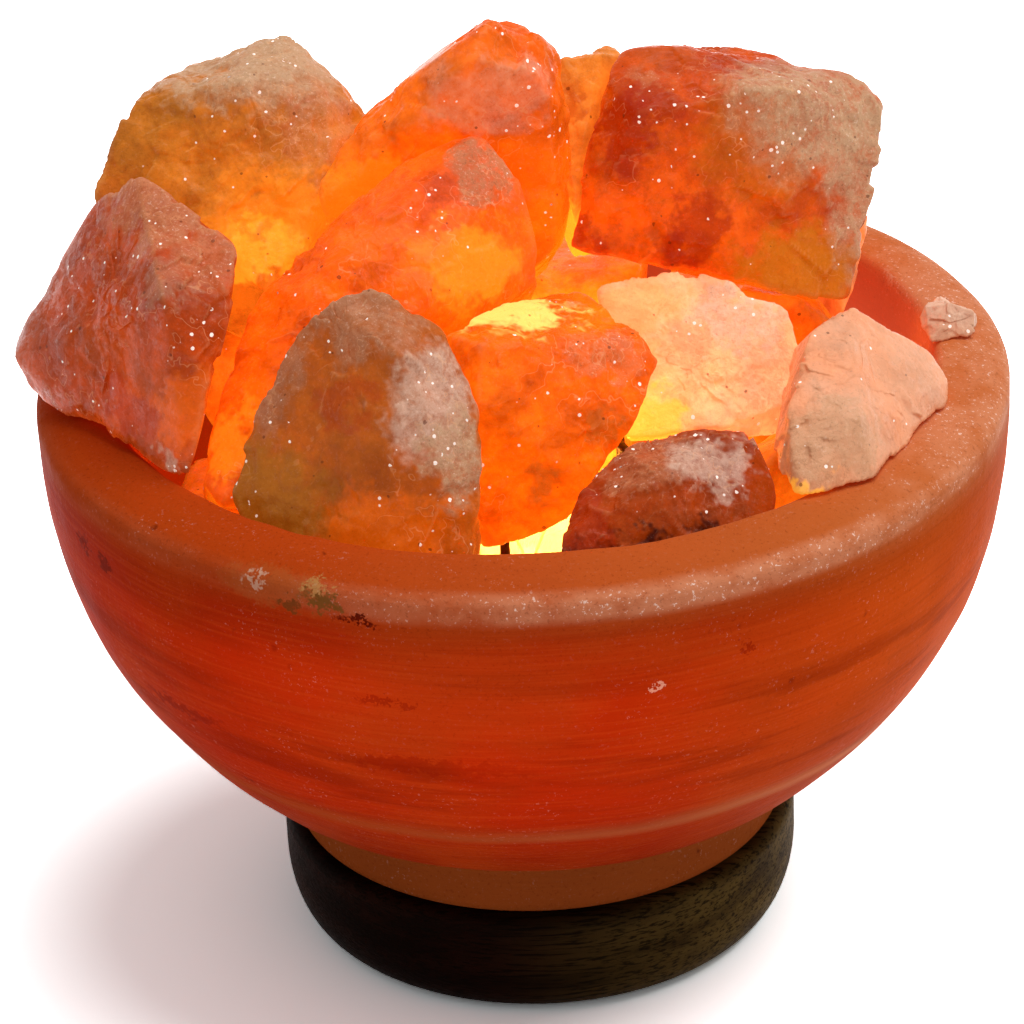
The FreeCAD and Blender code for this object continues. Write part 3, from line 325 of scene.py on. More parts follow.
# Marks: centre and half sizes in mm, tint and strength.
BOWL_MARKS = (
    ((78, 26, 127.6), (1.0, 9, 3.0), linear(236, 190, 160), 0.5),
    ((-49, -87, 123.0), (12, 9, 3.2), linear(170, 120, 62), 0.20),
    ((-39, -91, 122.5), (4, 4, 1.4), linear(72, 78, 30), 0.75),
    ((-52, -85, 124.2), (2.2, 3, 1.0), linear(226, 196, 170), 0.5),
    ((-40, -90, 124.6), (3, 3, 0.8), linear(190, 170, 100), 0.4),
    ((-46, -88, 121.0), (3, 4, 1.3), linear(64, 60, 24), 0.8),
    ((-32.5, -94.5, 120), (4, 4, 0.7), linear(40, 10, 4), 0.95),
    ((-83, -55, 112), (2.5, 4, 1.6), linear(50, 14, 6), 0.8),
    ((-88, -47, 113), (1.6, 3, 2.4), linear(50, 14, 6), 0.7),
    ((40.8, -90.8, 108.6), (1.6, 3, 1.3), linear(96, 14, 4), 0.8),
    ((-29.7, -94.3, 102), (4, 4, 0.8), linear(96, 22, 6), 0.7),
    ((-24, -96, 100.5), (2, 4, 0.8), linear(96, 22, 6), 0.6),
    ((-70, -64, 84.5), (11, 11, 1.4), linear(84, 14, 4), 0.75),
    ((-22.6, -92.6, 86), (24, 6, 1.8), linear(108, 18, 4), 0.6),
    ((23, -96.4, 104), (1.2, 3, 0.7), linear(240, 190, 160), 0.8))
for centre, sizes, tint, amount in BOWL_MARKS:
    gap = away(tree, jagged, tuple(MM * c for c in centre), tuple(MM * s for s in sizes))
    mark = calc(tree, "MULTIPLY", step(tree, gap, 1.35, 0.65), amount)
    colour = blend(tree, mark, colour, tint)
near = away(tree, where, BULB_CENTRE)
inner = step(tree, out, 0.0865, 0.0800)
inner = calc(tree, "MULTIPLY", inner, step(tree, split[2], 0.0600, 0.0635))
# The hollow's salt, with painted light making it more pale towards the right.
colour = blend(tree, inner, colour, blend(tree, painted_light_right, linear(176, 76, 28), linear(206, 126, 80)))
tree.links.new(colour, shader.inputs["Base Color"])
# The bulb shines red through the wall, most a little above half height and less at the left,
# and lights the hollow near it yellow-orange.
lit = calc(tree, "MULTIPLY", step(tree, split[2], 0.036, 0.080),
           step(tree, split[2], 0.126, 0.104, 0.10, 1.0))
lit = calc(tree, "MULTIPLY", lit, step(tree, drift, 0.30, 0.70, 0.70, 1.25))
lit = calc(tree, "MULTIPLY", lit, step(tree, streaks, 0.35, 0.72, 1.08, 0.72))
lit = calc(tree, "MULTIPLY", lit, step(tree, split[0], -0.090, -0.030, 0.40, 0.90))
lit = calc(tree, "MULTIPLY", lit, step(tree, split[2], 0.050, 0.100, 0.65, 1.05))
golden = blend(tree, step(tree, split[0], 0.0, 0.080),
               (0.29, 0.009, 0.0002, 1.0), (0.22, 0.017, 0.0002, 1.0))
wall = blend(tree, lit, (0.004, 0.0002, 0.0, 1.0), golden)
fall = calc(tree, "EXPONENT", calc(tree, "DIVIDE", calc(tree, "SUBTRACT", 0.045, near), 0.018))
bright = blend(tree, step(tree, fall, 0.25, 1.2), (0.70, 0.085, 0.002, 1.0), (1.0, 0.36, 0.03, 1.0))
# Painted light: far from the bulb, the hollow glows faintly on the right, as where the daylight falls on it.
hollow_painted_daylight = blend(tree, step(tree, split[0], 0.020, 0.080),
              (0.02, 0.002, 0.0, 1.0), (0.15, 0.055, 0.028, 1.0))
inner_glow = blend(tree, step(tree, fall, 0.10, 0.7), hollow_painted_daylight, bright)
tree.links.new(blend(tree, inner, wall, inner_glow), shader.inputs["Emission Color"])
shader.inputs["Emission Strength"].default_value = 1.0
tree.links.new(step(tree, frost_and_highlight, 0.0, 1.0, 0.42, 0.34), shader.inputs["Roughness"])
shader.inputs["Specular IOR Level"].default_value = 0.03
shader.inputs["IOR"].default_value = 1.10
height = calc(tree, "ADD", calc(tree, "MULTIPLY", lines, 0.4), fine)
bumped(tree, shader, height, 0.5, 0.0006)
bowl.data.materials.append(salt)
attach(bowl, "lamp")
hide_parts("salt_bowl")

# ---------------------------------------------------------------------------------------
# The base. A thick disc turned from dark wood, stained nearly black and waxed, rounded in
# below and screwed up to the bowl. Its grain runs level across the front.
# ---------------------------------------------------------------------------------------
def dress(nodes, material):
    """Gives CAD pieces their finish."""
    for name in nodes:
        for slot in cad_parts[name].material_slots:
            slot.material = material


wood, tree, shader, where = begin("dark_wood_waxed")
split = put(tree, "ShaderNodeSeparateXYZ", {0: where}).outputs
board = clouds(tree, shift(tree, "MULTIPLY", where, (9, 60, 150)), 1.0, 4, 0.6)
pores = clouds(tree, shift(tree, "MULTIPLY", where, (70, 900, 1700)), 1.0, 3, 0.7)
# Painted light: the right side of the base turns an olive brown, as where the light falls on it.
wood_painted_light_right = step(tree, split[0], -0.015, 0.050)
colour = blend(tree, step(tree, board, 0.35, 0.68), linear(16, 6, 3), linear(34, 14, 7))
wood_lit_tint = blend(tree, step(tree, board, 0.35, 0.65), linear(60, 43, 18), linear(98, 76, 36))
colour = blend(tree, wood_painted_light_right, colour, wood_lit_tint)
colour = blend(tree, step(tree, pores, 0.48, 0.62, 0.0, 0.85), colour, linear(12, 6, 3))
tree.links.new(colour, shader.inputs["Base Color"])
tree.links.new(step(tree, pores, 0.3, 0.7, 0.38, 0.55), shader.inputs["Roughness"])
shader.inputs["Specular IOR Level"].default_value = 0.06
shader.inputs["IOR"].default_value = 1.15
bumped(tree, shader, pores, 0.4, 0.0004)
dress(["wooden_base"], wood)

# ---------------------------------------------------------------------------------------
# Fixings: zinc-plated screws and washers, grey plastic plugs in the salt, a black cover
# plate, three rubber feet and the rubber grommet of the cord inlet.
# ---------------------------------------------------------------------------------------
def plain(name, tint, other, rough_low, rough_high, metal=0.0, scale=300.0):
    """A finish of two near tints in fine clouds, with roughness and relief from the same."""
    material, tree, shader, where = begin(name)
    fine = clouds(tree, where, scale, 6, 0.65)
    tree.links.new(blend(tree, step(tree, fine, 0.3, 0.7), tint, other), shader.inputs["Base Color"])
    tree.links.new(step(tree, fine, 0.3, 0.7, rough_low, rough_high), shader.inputs["Roughness"])
    shader.inputs["Metallic"].default_value = metal
    bumped(tree, shader, fine, 0.3, 0.0002)
    return material


zinc = plain("zinc_steel_plated", linear(196, 196, 190), linear(160, 162, 160), 0.25, 0.45, 1.0)
dress(["fixing_screws", "fixing_washers", "cover_screws", "plate_screws", "holder_plate"], zinc)
grey = plain("grey_plastic_moulded", linear(150, 150, 148), linear(132, 132, 130), 0.45, 0.6)
dress(["wall_plugs"], grey)
rubber = plain("black_rubber_dull", linear(26, 26, 26), linear(40, 39, 37), 0.7, 0.9, scale=500.0)
dress(["rubber_feet", "cord_grommet"], rubber)
black = plain("black_plastic_moulded", linear(24, 24, 25), linear(34, 34, 35), 0.4, 0.6)
dress(["cover_plate"], black)

# ---------------------------------------------------------------------------------------
# The lampholder: a white moulded sleeve and block, a brass thread shell with its contact
# and terminal screws, and two sprung steel clips that grip the hole in the bowl's floor.
# ---------------------------------------------------------------------------------------
white = plain("white_plastic_moulded", linear(232, 230, 222), linear(218, 214, 204), 0.35, 0.5)
dress(["holder_shell", "contact_block"], white)
brass = plain("brass_bright", linear(214, 176, 96), linear(186, 146, 72), 0.22, 0.4, 1.0)
dress(["terminal_screws", "thread_shell", "centre_contact"], brass)
spring = plain("spring_steel_blued", linear(120, 122, 126), linear(92, 92, 96), 0.25, 0.4, 1.0)
dress(["spring_clips"], spring)

# ---------------------------------------------------------------------------------------
# The bulb: a small clear pygmy bulb, lit. Its glass glows yellow-white round the filament,
# which two support wires hold on a glass stem; the cap is nickel-plated and screwed in.
# ---------------------------------------------------------------------------------------
cap = plain("cap_metal_nickel", linear(200, 192, 172), linear(170, 160, 140), 0.25, 0.45, 1.0)
dress(["bulb_cap"], cap)
black_glass = plain("black_glass_ring", linear(16, 16, 20), linear(26, 26, 30), 0.08, 0.2)
dress(["bulb_insulator"], black_glass)
solder = plain("solder_tip", linear(176, 176, 174), linear(140, 140, 140), 0.35, 0.5, 1.0)
dress(["bulb_tip"], solder)
support = plain("lead_wire_copper", linear(196, 130, 84), linear(150, 96, 60), 0.3, 0.5, 1.0)
dress(["lead_wires"], support)

glass, tree, shader, where = begin("clear_glass_lit")
near = away(tree, where, (0, 0, 0.092), (1, 1, 1.3))
haze = clouds(tree, where, 160, 3)
warm = blend(tree, step(tree, near, 0.020, 0.006), (0.90, 0.26, 0.005, 1.0), (1.10, 0.64, 0.11, 1.0))
warm = blend(tree, step(tree, haze, 0.3, 0.7, 0.0, 0.3), warm, (0.7, 0.26, 0.02, 1.0))
tree.links.new(warm, shader.inputs["Emission Color"])
shader.inputs["Emission Strength"].default_value = 1.0
shader.inputs["Base Color"].default_value = (1.0, 0.96, 0.9, 1.0)
tree.links.new(step(tree, haze, 0.3, 0.7, 0.02, 0.06), shader.inputs["Roughness"])
shader.inputs["Alpha"].default_value = 0.45
dress(["bulb_glass", "bulb_stem"], glass)

wire, tree, shader, where = begin("filament_white_hot")
coil = put(tree, "ShaderNodeTexWave", {"Vector": where, "Scale": 900.0, "Distortion": 1.0}).outputs["Fac"]
tree.links.new(blend(tree, coil, (6.0, 3.6, 1.4, 1.0), (9.0, 6.5, 3.2, 1.0)), shader.inputs["Emission Color"])
shader.inputs["Emission Strength"].default_value = 1.0
dress(["bulb_filament"], wire)

BULB_POWER = 0.20
BULB_TINT = (1.0, 0.42, 0.08)
FILAMENT_REACH = 0.010
bulb_light = bpy.data.lights.new("bulb_light", "POINT")
bulb_light.energy = BULB_POWER
bulb_light.color = BULB_TINT
bulb_light.shadow_soft_size = FILAMENT_REACH
lamp = bpy.data.objects.new("bulb_light", bulb_light)
lamp.location = BULB_CENTRE
bpy.context.scene.collection.objects.link(lamp)

# ---------------------------------------------------------------------------------------
# The guard: a cage of dull steel wire, two rings and eight bent rods, that stands on the
# bowl's floor and keeps the lumps off the hot bulb. It has dusty, slightly rusted wires.
# ---------------------------------------------------------------------------------------
guard = plain("guard_wire_dull", linear(92, 78, 62), linear(58, 40, 28), 0.35, 0.6, 0.85, 240.0)
dress(["wire_guard"], guard)

# ---------------------------------------------------------------------------------------
# The lumps. Rough pieces of rock salt broken from a bigger block: flat broken faces, rounded
# edges, small crystal chips, frosted skins and darker stains. They lie loose on the guard,
# the bowl's lip and each other, and the bulb makes those close to it glow.
# ---------------------------------------------------------------------------------------
# The broken relief: how round the edges are, the widths of its noises, how far corner cuts,
# steps and crystal faces go, and the limits of it all about the flat faces.
EDGE_POWER = 80
BROAD_SPAN = 0.016
FINE_SPAN = 0.0040
FINE_PART = 0.11
STEP_SPAN = 0.008
STEP_RISE = 0.22 * MM
CHIP_LEAST, CHIP_MOST = 0.962, 0.995
FACET_LEAN = 0.20
FACET_RISE = 0.14 * MM
DEEPEST, HIGHEST = -4 * MM, 0.5 * MM
SALT_ROUGHNESS = 0.30
SALT_VEINS = 0.5


def broken_faces(node, centre):
    """The planes of a CAD lump's flat faces: outward directions and distances from a centre."""
    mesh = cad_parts[node].data
    points = np.empty(len(mesh.vertices) * 3)
    mesh.vertices.foreach_get("co", points)
    points = points.reshape(-1, 3)
    mesh.calc_loop_triangles()
    corners = np.empty(len(mesh.loop_triangles) * 3, dtype=np.int32)
    mesh.loop_triangles.foreach_get("vertices", corners)
    a, b, c = points[corners.reshape(-1, 3)].transpose(1, 0, 2)
    facing = np.cross(b - a, c - a)
    size = np.linalg.norm(facing, axis=1)
    facing = facing[size > 1e-9] / size[size > 1e-9, None]
    depth = np.sum(facing * (a[size > 1e-9] - centre), axis=1)
    table = np.unique(np.round(np.column_stack([facing, depth * 100]), 3), axis=0)
    return table[:, :3], table[:, 3] / 100, points


def broken_lump(node, name, body, finish, seed, detail=(300, 160), rise=1.3, chips=22,
                crystal=0.7, facets=300):
    """A lump as a surface about its centre. In each direction its radius is the least of the
    distances to the CAD lump's faces and to some small extra cuts near its corners, rounded by
    adding their inverses to a high power; then broad and fine noise, low cleavage steps where
    the noise passes whole numbers, and small tilted crystal faces, each the part of the surface
    nearest to one of many random points."""
    box = np.array(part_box(node)).reshape(2, 3)
    centre = box.mean(axis=0)
    # The centre moves inwards while its nearest face is much closer than its farthest one.
    for _ in range(12):
        facing, depth, points = broken_faces(node, centre)
        if depth.min() > 0.1 * depth.max():
            break
        centre = centre + facing[depth.argmin()] * -0.002
    random = np.random.default_rng(seed)
    cuts = random.normal(size=(chips, 3))
    cuts /= np.linalg.norm(cuts, axis=1, keepdims=True)
    support = ((points - centre) @ cuts.T).max(axis=0)
    facing = np.vstack([facing, cuts])
    depth = np.concatenate([depth, support * random.uniform(CHIP_LEAST, CHIP_MOST, chips)])
    turns, rings = detail
    half = (box[1] - box[0]) / 2
    polar = (np.arange(rings) + 0.5)[:, None] / rings * math.pi
    round_angle = np.arange(turns)[None] / turns * 2 * math.pi
    ways = np.stack([half[0] * np.sin(polar) * np.cos(round_angle),
                     half[1] * np.sin(polar) * np.sin(round_angle),
                     half[2] * np.cos(polar) + 0 * round_angle], axis=-1).reshape(-1, 3)
    ways /= np.linalg.norm(ways, axis=1, keepdims=True)
    closeness = np.clip(ways @ facing.T / depth, 0, None)
    most = closeness.max()
    radius = 1 / (np.sum((closeness / most) ** EDGE_POWER, axis=1) ** (1 / EDGE_POWER) * most)
    spot = centre + ways * radius[:, None]
    broad = rough(spot, BROAD_SPAN, 3, seed, 0.55)
    push = rise * MM * (broad - 0.12)
    push += FINE_PART * rise * MM * rough(spot, FINE_SPAN, 3, seed + 20, 0.6)
    layers = 2.0 * broad + 0.3 * grain(spot, STEP_SPAN, seed + 60)
    push += STEP_RISE * np.clip((layers - np.floor(layers)) * 5 - 2.5, -0.5, 0.5)
    seeds = spot[random.integers(0, len(spot), facets)]
    gaps = np.sum(spot ** 2, axis=1)[:, None] - 2 * spot @ seeds.T + np.sum(seeds ** 2, axis=1)
    nearest = gaps.argmin(axis=1)
    tilt = random.normal(size=(len(seeds), 3)) * FACET_LEAN
    step_up = random.normal(size=len(seeds)) * FACET_RISE
    patch = np.clip(grain(spot, 0.020, seed + 40) * 1.6 + 0.5, 0.15, 1)
    flake = np.sum(tilt[nearest] * (spot - seeds[nearest]), axis=1) + step_up[nearest]
    push += crystal * patch * np.clip(flake, -0.0010, 0.0007)
    push = np.clip(push, DEEPEST, HIGHEST)
    rows = (centre + ways * (radius + push)[:, None]).reshape(rings, turns, 3)
    piece = skin(name, rows, ring=False)
    piece.data.materials.append(finish)
    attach(piece, body)
    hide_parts(node)


# Looks of single patches on the lumps, each a tint and a glow. FIRE, LIT, SUN and GLARE are painted pools of
# the bulb's light.
FROST = (linear(196, 160, 126), (0.120, 0.045, 0.016, 1.0))
MAUVE = (linear(190, 122, 84), (0.140, 0.030, 0.009, 1.0))
LILAC = (linear(182, 142, 114), (0.080, 0.024, 0.008, 1.0))
WHITE = (linear(226, 204, 184), (0.18, 0.09, 0.055, 1.0))
STAIN = (linear(140, 30, 6), (0.20, 0.006, 0.0, 1.0))
BLACK = (linear(56, 12, 4), (0.010, 0.0, 0.0, 1.0))
AMBER = (linear(186, 104, 22), (0.26, 0.070, 0.001, 1.0))
OLIVE = (linear(160, 104, 36), (0.13, 0.036, 0.001, 1.0))
GREEN = (linear(130, 92, 50), (0.34, 0.060, 0.003, 1.0))
FIRE = (linear(206, 88, 14), (0.66, 0.095, 0.001, 1.0))
LIT = (linear(224, 120, 30), (0.80, 0.200, 0.004, 1.0))
SUN = (linear(244, 170, 60), (1.00, 0.44, 0.020, 1.0))
GLARE = (linear(250, 190, 100), (1.05, 0.54, 0.110, 1.0))
FROSTED = (FROST, MAUVE, LILAC, WHITE)


def salt_finish(name, clear, cloudy, glow, near, reach, patches=(), painted_glint_share=0.5):
    """Translucent salt. Two tints drift into each other, and the glow has its full colour at the
    distance near from the bulb and fades by e over each reach. Patches, each an ellipsoid with
    a jagged, broken edge, lay their own tint and glow over that. Thin pale veins follow one
    level of the clouds, and raised edges get a painted highlight. Fine pits are darker and fine
    grains near-white, most of all in frosted patches. Of many small cells a few get painted
    glints, and fewer are dark motes. Bigger cells lean at random, so that the surface sparkles."""
    material, tree, shader, where = begin(name)
    soft = clouds(tree, where, 48, 3, 0.6)
    other = clouds(tree, shift(tree, "ADD", where, (3, 5, 7)), 95, 3, 0.6)
    fine = clouds(tree, where, 520, 4, 0.75)
    grit = clouds(tree, where, 1500, 2, 0.8)
    wander = shift(tree, "SUBTRACT", clouds(tree, where, 120, 3, 0.75, "Color"), (0.5, 0.5, 0.5))
    jagged = shift(tree, "ADD", where, shift(tree, "MULTIPLY", wander, (0.022, 0.022, 0.022)))
    colour = blend(tree, step(tree, soft, 0.36, 0.64), clear, cloudy)
    gap = away(tree, where, BULB_CENTRE)
    fall = calc(tree, "EXPONENT", calc(tree, "DIVIDE", calc(tree, "SUBTRACT", near, gap), reach))
    fall = calc(tree, "MULTIPLY", fall, step(tree, other, 0.28, 0.72, 0.50, 1.50))
    fall = calc(tree, "MULTIPLY", fall, step(tree, fine, 0.30, 0.70, 0.80, 1.20))
    fall = calc(tree, "MINIMUM", fall, 2.2)
    hot = blend(tree, step(tree, gap, 0.052, 0.030), glow, SUN[1])
    light = put(tree, "ShaderNodeVectorMath", {0: hot, "Scale": fall}, operation="SCALE").outputs[0]
    raised = step(tree, put(tree, "ShaderNodeNewGeometry").outputs["Pointiness"], 0.505, 0.56)
    masks = 0.0
    for look, centre, sizes, amount in patches:
        far = away(tree, jagged, tuple(MM * c for c in centre), tuple(MM * s for s in sizes))
        mask = calc(tree, "MULTIPLY", step(tree, far, 1.35, 0.70), amount)
        if look in FROSTED:
            broken = calc(tree, "ADD", fine, calc(tree, "MULTIPLY", raised, 0.3))
            mask = calc(tree, "MULTIPLY", mask, step(tree, broken, 0.30, 0.62, 0.45, 1.0))
            masks = calc(tree, "MAXIMUM", masks, mask)
        colour = blend(tree, mask, colour, look[0])
        light = blend(tree, mask, light, look[1])
    contour = calc(tree, "ABSOLUTE", calc(tree, "SUBTRACT", other, 0.47))
    veins_and_edge_highlight = calc(tree, "MULTIPLY", step(tree, contour, 0.010, 0.001),
                step(tree, soft, 0.46, 0.60, 0, SALT_VEINS))
    # Painted highlight: raised edges are made more pale, along with the veins.
    veins_and_edge_highlight = calc(tree, "MAXIMUM", calc(tree, "MULTIPLY", veins_and_edge_highlight, 0.6), calc(tree, "MULTIPLY", raised, 0.14))
    colour = blend(tree, veins_and_edge_highlight, colour, linear(240, 186, 136))
    sunk = step(tree, grit, 0.44, 0.30)
    dim = calc(tree, "MULTIPLY", sunk, calc(tree, "ADD", calc(tree, "MULTIPLY", masks, 0.20), 0.14))
    colour = blend(tree, dim, colour, linear(104, 34, 8))
    light = blend(tree, calc(tree, "MULTIPLY", dim, 0.8), light, (0.02, 0.001, 0.0, 1.0))
    sugar = calc(tree, "MULTIPLY", step(tree, grit, 0.56, 0.70),
                 calc(tree, "ADD", calc(tree, "MULTIPLY", masks, 0.40), 0.05))
    colour = blend(tree, sugar, colour, linear(246, 222, 202))
    cells = put(tree, "ShaderNodeTexVoronoi", {"Vector": where, "Scale": 820.0}).outputs
    pick = put(tree, "ShaderNodeSeparateColor", {0: cells["Color"]}).outputs
    few = step(tree, soft, 0.44, 0.60, 0.990, 1.0 - 0.17 * painted_glint_share)
    few = calc(tree, "SUBTRACT", few, calc(tree, "MULTIPLY", masks, 0.09 * painted_glint_share))
    edge = calc(tree, "ADD", cells["Distance"], calc(tree, "MULTIPLY", fine, 0.5))
    edge = calc(tree, "SUBTRACT", edge, calc(tree, "MULTIPLY", pick[2], 0.25))
    # Painted glints: a few small cells are near-white and glow, like crystals catching the light.
    painted_glint = calc(tree, "MULTIPLY", calc(tree, "GREATER_THAN", pick[0], few), step(tree, edge, 0.40, 0.28))
    colour = blend(tree, painted_glint, colour, linear(255, 244, 236))
    light = blend(tree, calc(tree, "MULTIPLY", painted_glint, 0.8), light, (0.46, 0.36, 0.29, 1.0))
    mote = calc(tree, "MULTIPLY", calc(tree, "LESS_THAN", pick[1], 0.022), step(tree, edge, 0.42, 0.32))
    colour = blend(tree, calc(tree, "MULTIPLY", mote, 0.6), colour, linear(74, 34, 14))
    light = blend(tree, calc(tree, "MULTIPLY", mote, 0.6), light, (0.05, 0.005, 0.0, 1.0))
    tree.links.new(colour, shader.inputs["Base Color"])
    tree.links.new(light, shader.inputs["Emission Color"])
    shader.inputs["Emission Strength"].default_value = 1.0
    matt = calc(tree, "ADD", calc(tree, "MULTIPLY", masks, 0.16),
                step(tree, fine, 0.3, 0.7, SALT_ROUGHNESS - 0.08, SALT_ROUGHNESS + 0.08))
    tree.links.new(matt, shader.inputs["Roughness"])
    shader.inputs["Specular IOR Level"].default_value = 0.12
    shader.inputs["IOR"].default_value = 1.3
    shader.inputs["Coat Weight"].default_value = 0.05
    shader.inputs["Coat Roughness"].default_value = 0.08
    grains = put(tree, "ShaderNodeTexVoronoi", {"Vector": jagged, "Scale": 420.0}).outputs["Color"]
    lean = shift(tree, "MULTIPLY", shift(tree, "SUBTRACT", grains, (0.5, 0.5, 0.5)), (0.30, 0.30, 0.30))
    facing = shift(tree, "ADD", put(tree, "ShaderNodeNewGeometry").outputs["Normal"], lean)
    bumped(tree, shader, fine, 0.35, 0.0008, facing)
    return material


# Five lumps bedded under the heap, close to the bulb, which glow yellow-orange in the gaps.
inner = salt_finish("inner_salt_glowing", linear(226, 104, 26), linear(214, 80, 14),
                    (0.85, 0.17, 0.004, 1.0), 0.045, 0.035, painted_glint_share=0.3)
for number, side_name in enumerate(("right", "left", "back", "front")):
    broken_lump("stone_under_" + side_name, "bedded_lump_" + side_name, "lamp", inner,
                60 + number, detail=(150, 80), facets=120)
broken_lump("stone_side", "bedded_lump_side", "lamp", inner, 65, detail=(150, 80), facets=120)

# The lump at the back left: smooth clear amber with a frosted grey cap and a lacy, brightly
# lit lower right corner.
finish = salt_finish(
    "amber_salt_back_left", linear(184, 110, 34), linear(170, 96, 34), (0.25, 0.056, 0.002, 1.0),
    0.100, 0.034,
    ((FROST, (-58, 33, 186), (32, 26, 8), 0.9), (FROST, (-44, 30, 180), (12, 14, 9), 0.7),
     (MAUVE, (-37, 18, 172), (9, 10, 9), 0.45), (SUN, (-54, 7, 151), (10, 8, 5), 0.6),
     (LIT, (-48, 6, 157), (14, 10, 9), 0.5), (STAIN, (-82, 14, 155), (4, 8, 14), 0.25)), painted_glint_share=0.5)
broken_lump("stone_back_left", "lump_back_left", "back_left lump", finish, 11, rise=1.6)

# The rear lump, mostly hidden: peach-coloured salt that shows past the big right-hand one.
finish = salt_finish("pale_salt_rear", linear(228, 140, 90), linear(220, 118, 66),
                     (0.60, 0.13, 0.018, 1.0), 0.075, 0.06, painted_glint_share=0.3)
broken_lump("stone_rear", "lump_rear", "rear lump", finish, 12, detail=(200, 110))

# The big lump at the back right: orange-red with dark red stains, and a frosted grey-beige
# skin over its right-hand third.
finish = salt_finish(
    "red_salt_back_right", linear(186, 76, 16), linear(168, 52, 8), (0.33, 0.036, 0.0005, 1.0), 0.085, 0.045,
    ((AMBER, (58, 4, 140), (13, 12, 10), 0.8), (STAIN, (22, 11, 171), (6, 8, 9), 0.7),
     (STAIN, (28, 12, 178), (7, 8, 4), 0.5), (STAIN, (36, 4, 151), (6, 7, 7), 0.6),
     (STAIN, (31, 4, 147), (5, 6, 4), 0.5), (STAIN, (14, 8, 148), (4, 6, 5), 0.6),
     (AMBER, (50, 12, 168), (12, 12, 12), 0.35),
     (FROST, (68, 16, 177), (22, 18, 17), 0.9), (FROST, (75, 14, 155), (11, 16, 22), 0.85),
     (MAUVE, (38, 12, 184), (22, 12, 4), 0.5)), painted_glint_share=0.6)
broken_lump("stone_back_right", "lump_back_right", "back_right lump", finish, 13)

# The long lump: a slab of bright orange salt that leans over the left of the bowl.
finish = salt_finish(
    "orange_salt_long", linear(216, 88, 14), linear(204, 68, 8), (0.60, 0.062, 0.0005, 1.0), 0.075, 0.060,
    ((LIT, (-9, -18, 157), (13, 9, 8), 0.75), (MAUVE, (-6, -3, 171), (6, 8, 7), 0.85),
     (FIRE, (-24, -22, 162), (12, 10, 6), 0.5), (LIT, (-58, -47, 133), (5, 6, 14), 0.5),
     (STAIN, (-16, -6, 168), (5, 6, 4), 0.35), (STAIN, (-30, -20, 158), (10, 8, 3), 0.3)), painted_glint_share=0.35)
broken_lump("stone_long", "lump_long", "long lump", finish, 14, rise=1.2)

# The lump at the left, on the lip: rust-brown below, a mauve frosted top with a jagged edge.
finish = salt_finish(
    "rust_salt_left", linear(164, 68, 24), linear(148, 50, 12), (0.22, 0.022, 0.001, 1.0), 0.100, 0.035,
    ((MAUVE, (-74, -22, 174), (22, 26, 8), 0.8), (MAUVE, (-60, -28, 167), (8, 10, 6), 0.5),
     (LILAC, (-70, -36, 164), (7, 6, 3), 0.4), (FIRE, (-63, -46, 140), (9, 8, 8), 0.35),
     (STAIN, (-80, -38, 138), (9, 8, 5), 0.4), (WHITE, (-74, -48, 133), (4, 4, 3), 0.6)), painted_glint_share=0.8)
broken_lump("stone_left", "lump_left", "left lump", finish, 15, rise=1.5, crystal=1.0)

# The top lump: bright orange, with a rugged crown full of small crystals, many with painted glints.
finish = salt_finish(
    "orange_salt_top", linear(218, 100, 22), linear(206, 78, 12), (0.50, 0.068, 0.0005, 1.0), 0.085, 0.055,
    ((WHITE, (-4, 5, 183), (12, 10, 7), 0.25), (LIT, (-31, 6, 160), (11, 10, 10), 0.6),
     (FIRE, (4, 6, 160), (10, 10, 12), 0.4)), painted_glint_share=1.0)
broken_lump("stone_top", "lump_top", "top lump", finish, 16, rise=1.6, crystal=1.0)

# The sliver between the two big lumps at the back: amber, brightly lit at its foot.
finish = salt_finish(
    "orange_salt_sliver", linear(208, 124, 50), linear(198, 108, 38), (0.40, 0.100, 0.006, 1.0), 0.085, 0.04,
    ((SUN, (14, 18, 143), (12, 10, 9), 0.8), (STAIN, (10, 22, 172), (4, 6, 4), 0.4)), painted_glint_share=0.6)
broken_lump("stone_sliver", "lump_sliver", "sliver lump", finish, 17, detail=(220, 140))

# The lump at the front left: brown-orange below, with lilac frost over its top and left and
# a grey-white crust on its right.
finish = salt_finish(
    "brown_salt_front_left", linear(172, 88, 30), linear(158, 72, 20), (0.24, 0.040, 0.001, 1.0),
    0.075, 0.040,
    ((LILAC, (-34, -54, 165), (14, 12, 8), 0.55), (LILAC, (-51, -50, 151), (8, 10, 14), 0.5),
     (OLIVE, (-50, -60, 126), (14, 12, 12), 0.7), (FIRE, (-26, -72, 126), (14, 9, 8), 0.4),
     (WHITE, (-17, -64, 150), (8.5, 9, 13), 0.6), (FROST, (-13, -66, 138), (6, 8, 9), 0.9),
     (STAIN, (-35, -62, 149), (6, 6, 5), 0.35)), painted_glint_share=0.7)
broken_lump("stone_front_left", "lump_front_left", "front_left lump", finish, 18)

# The middle lump, right over the bulb: glowing orange, with a brilliant yellow top face.
finish = salt_finish(
    "orange_salt_middle", linear(216, 94, 18), linear(206, 74, 10), (0.60, 0.078, 0.0005, 1.0), 0.062, 0.045,
    ((GLARE, (-6, -19, 149), (20, 13, 4), 0.85), (MAUVE, (10, -12, 148), (6, 5, 3), 0.7),
     (MAUVE, (18, -32, 142), (9, 9, 4), 0.5), (GREEN, (15, -40, 131), (4, 5, 5), 0.5),
     (GREEN, (4, -46, 122), (4, 4, 4), 0.5), (SUN, (24, -20, 118), (6, 8, 10), 0.6)), painted_glint_share=0.4)
broken_lump("stone_middle", "lump_middle", "middle lump", finish, 19, rise=1.2)

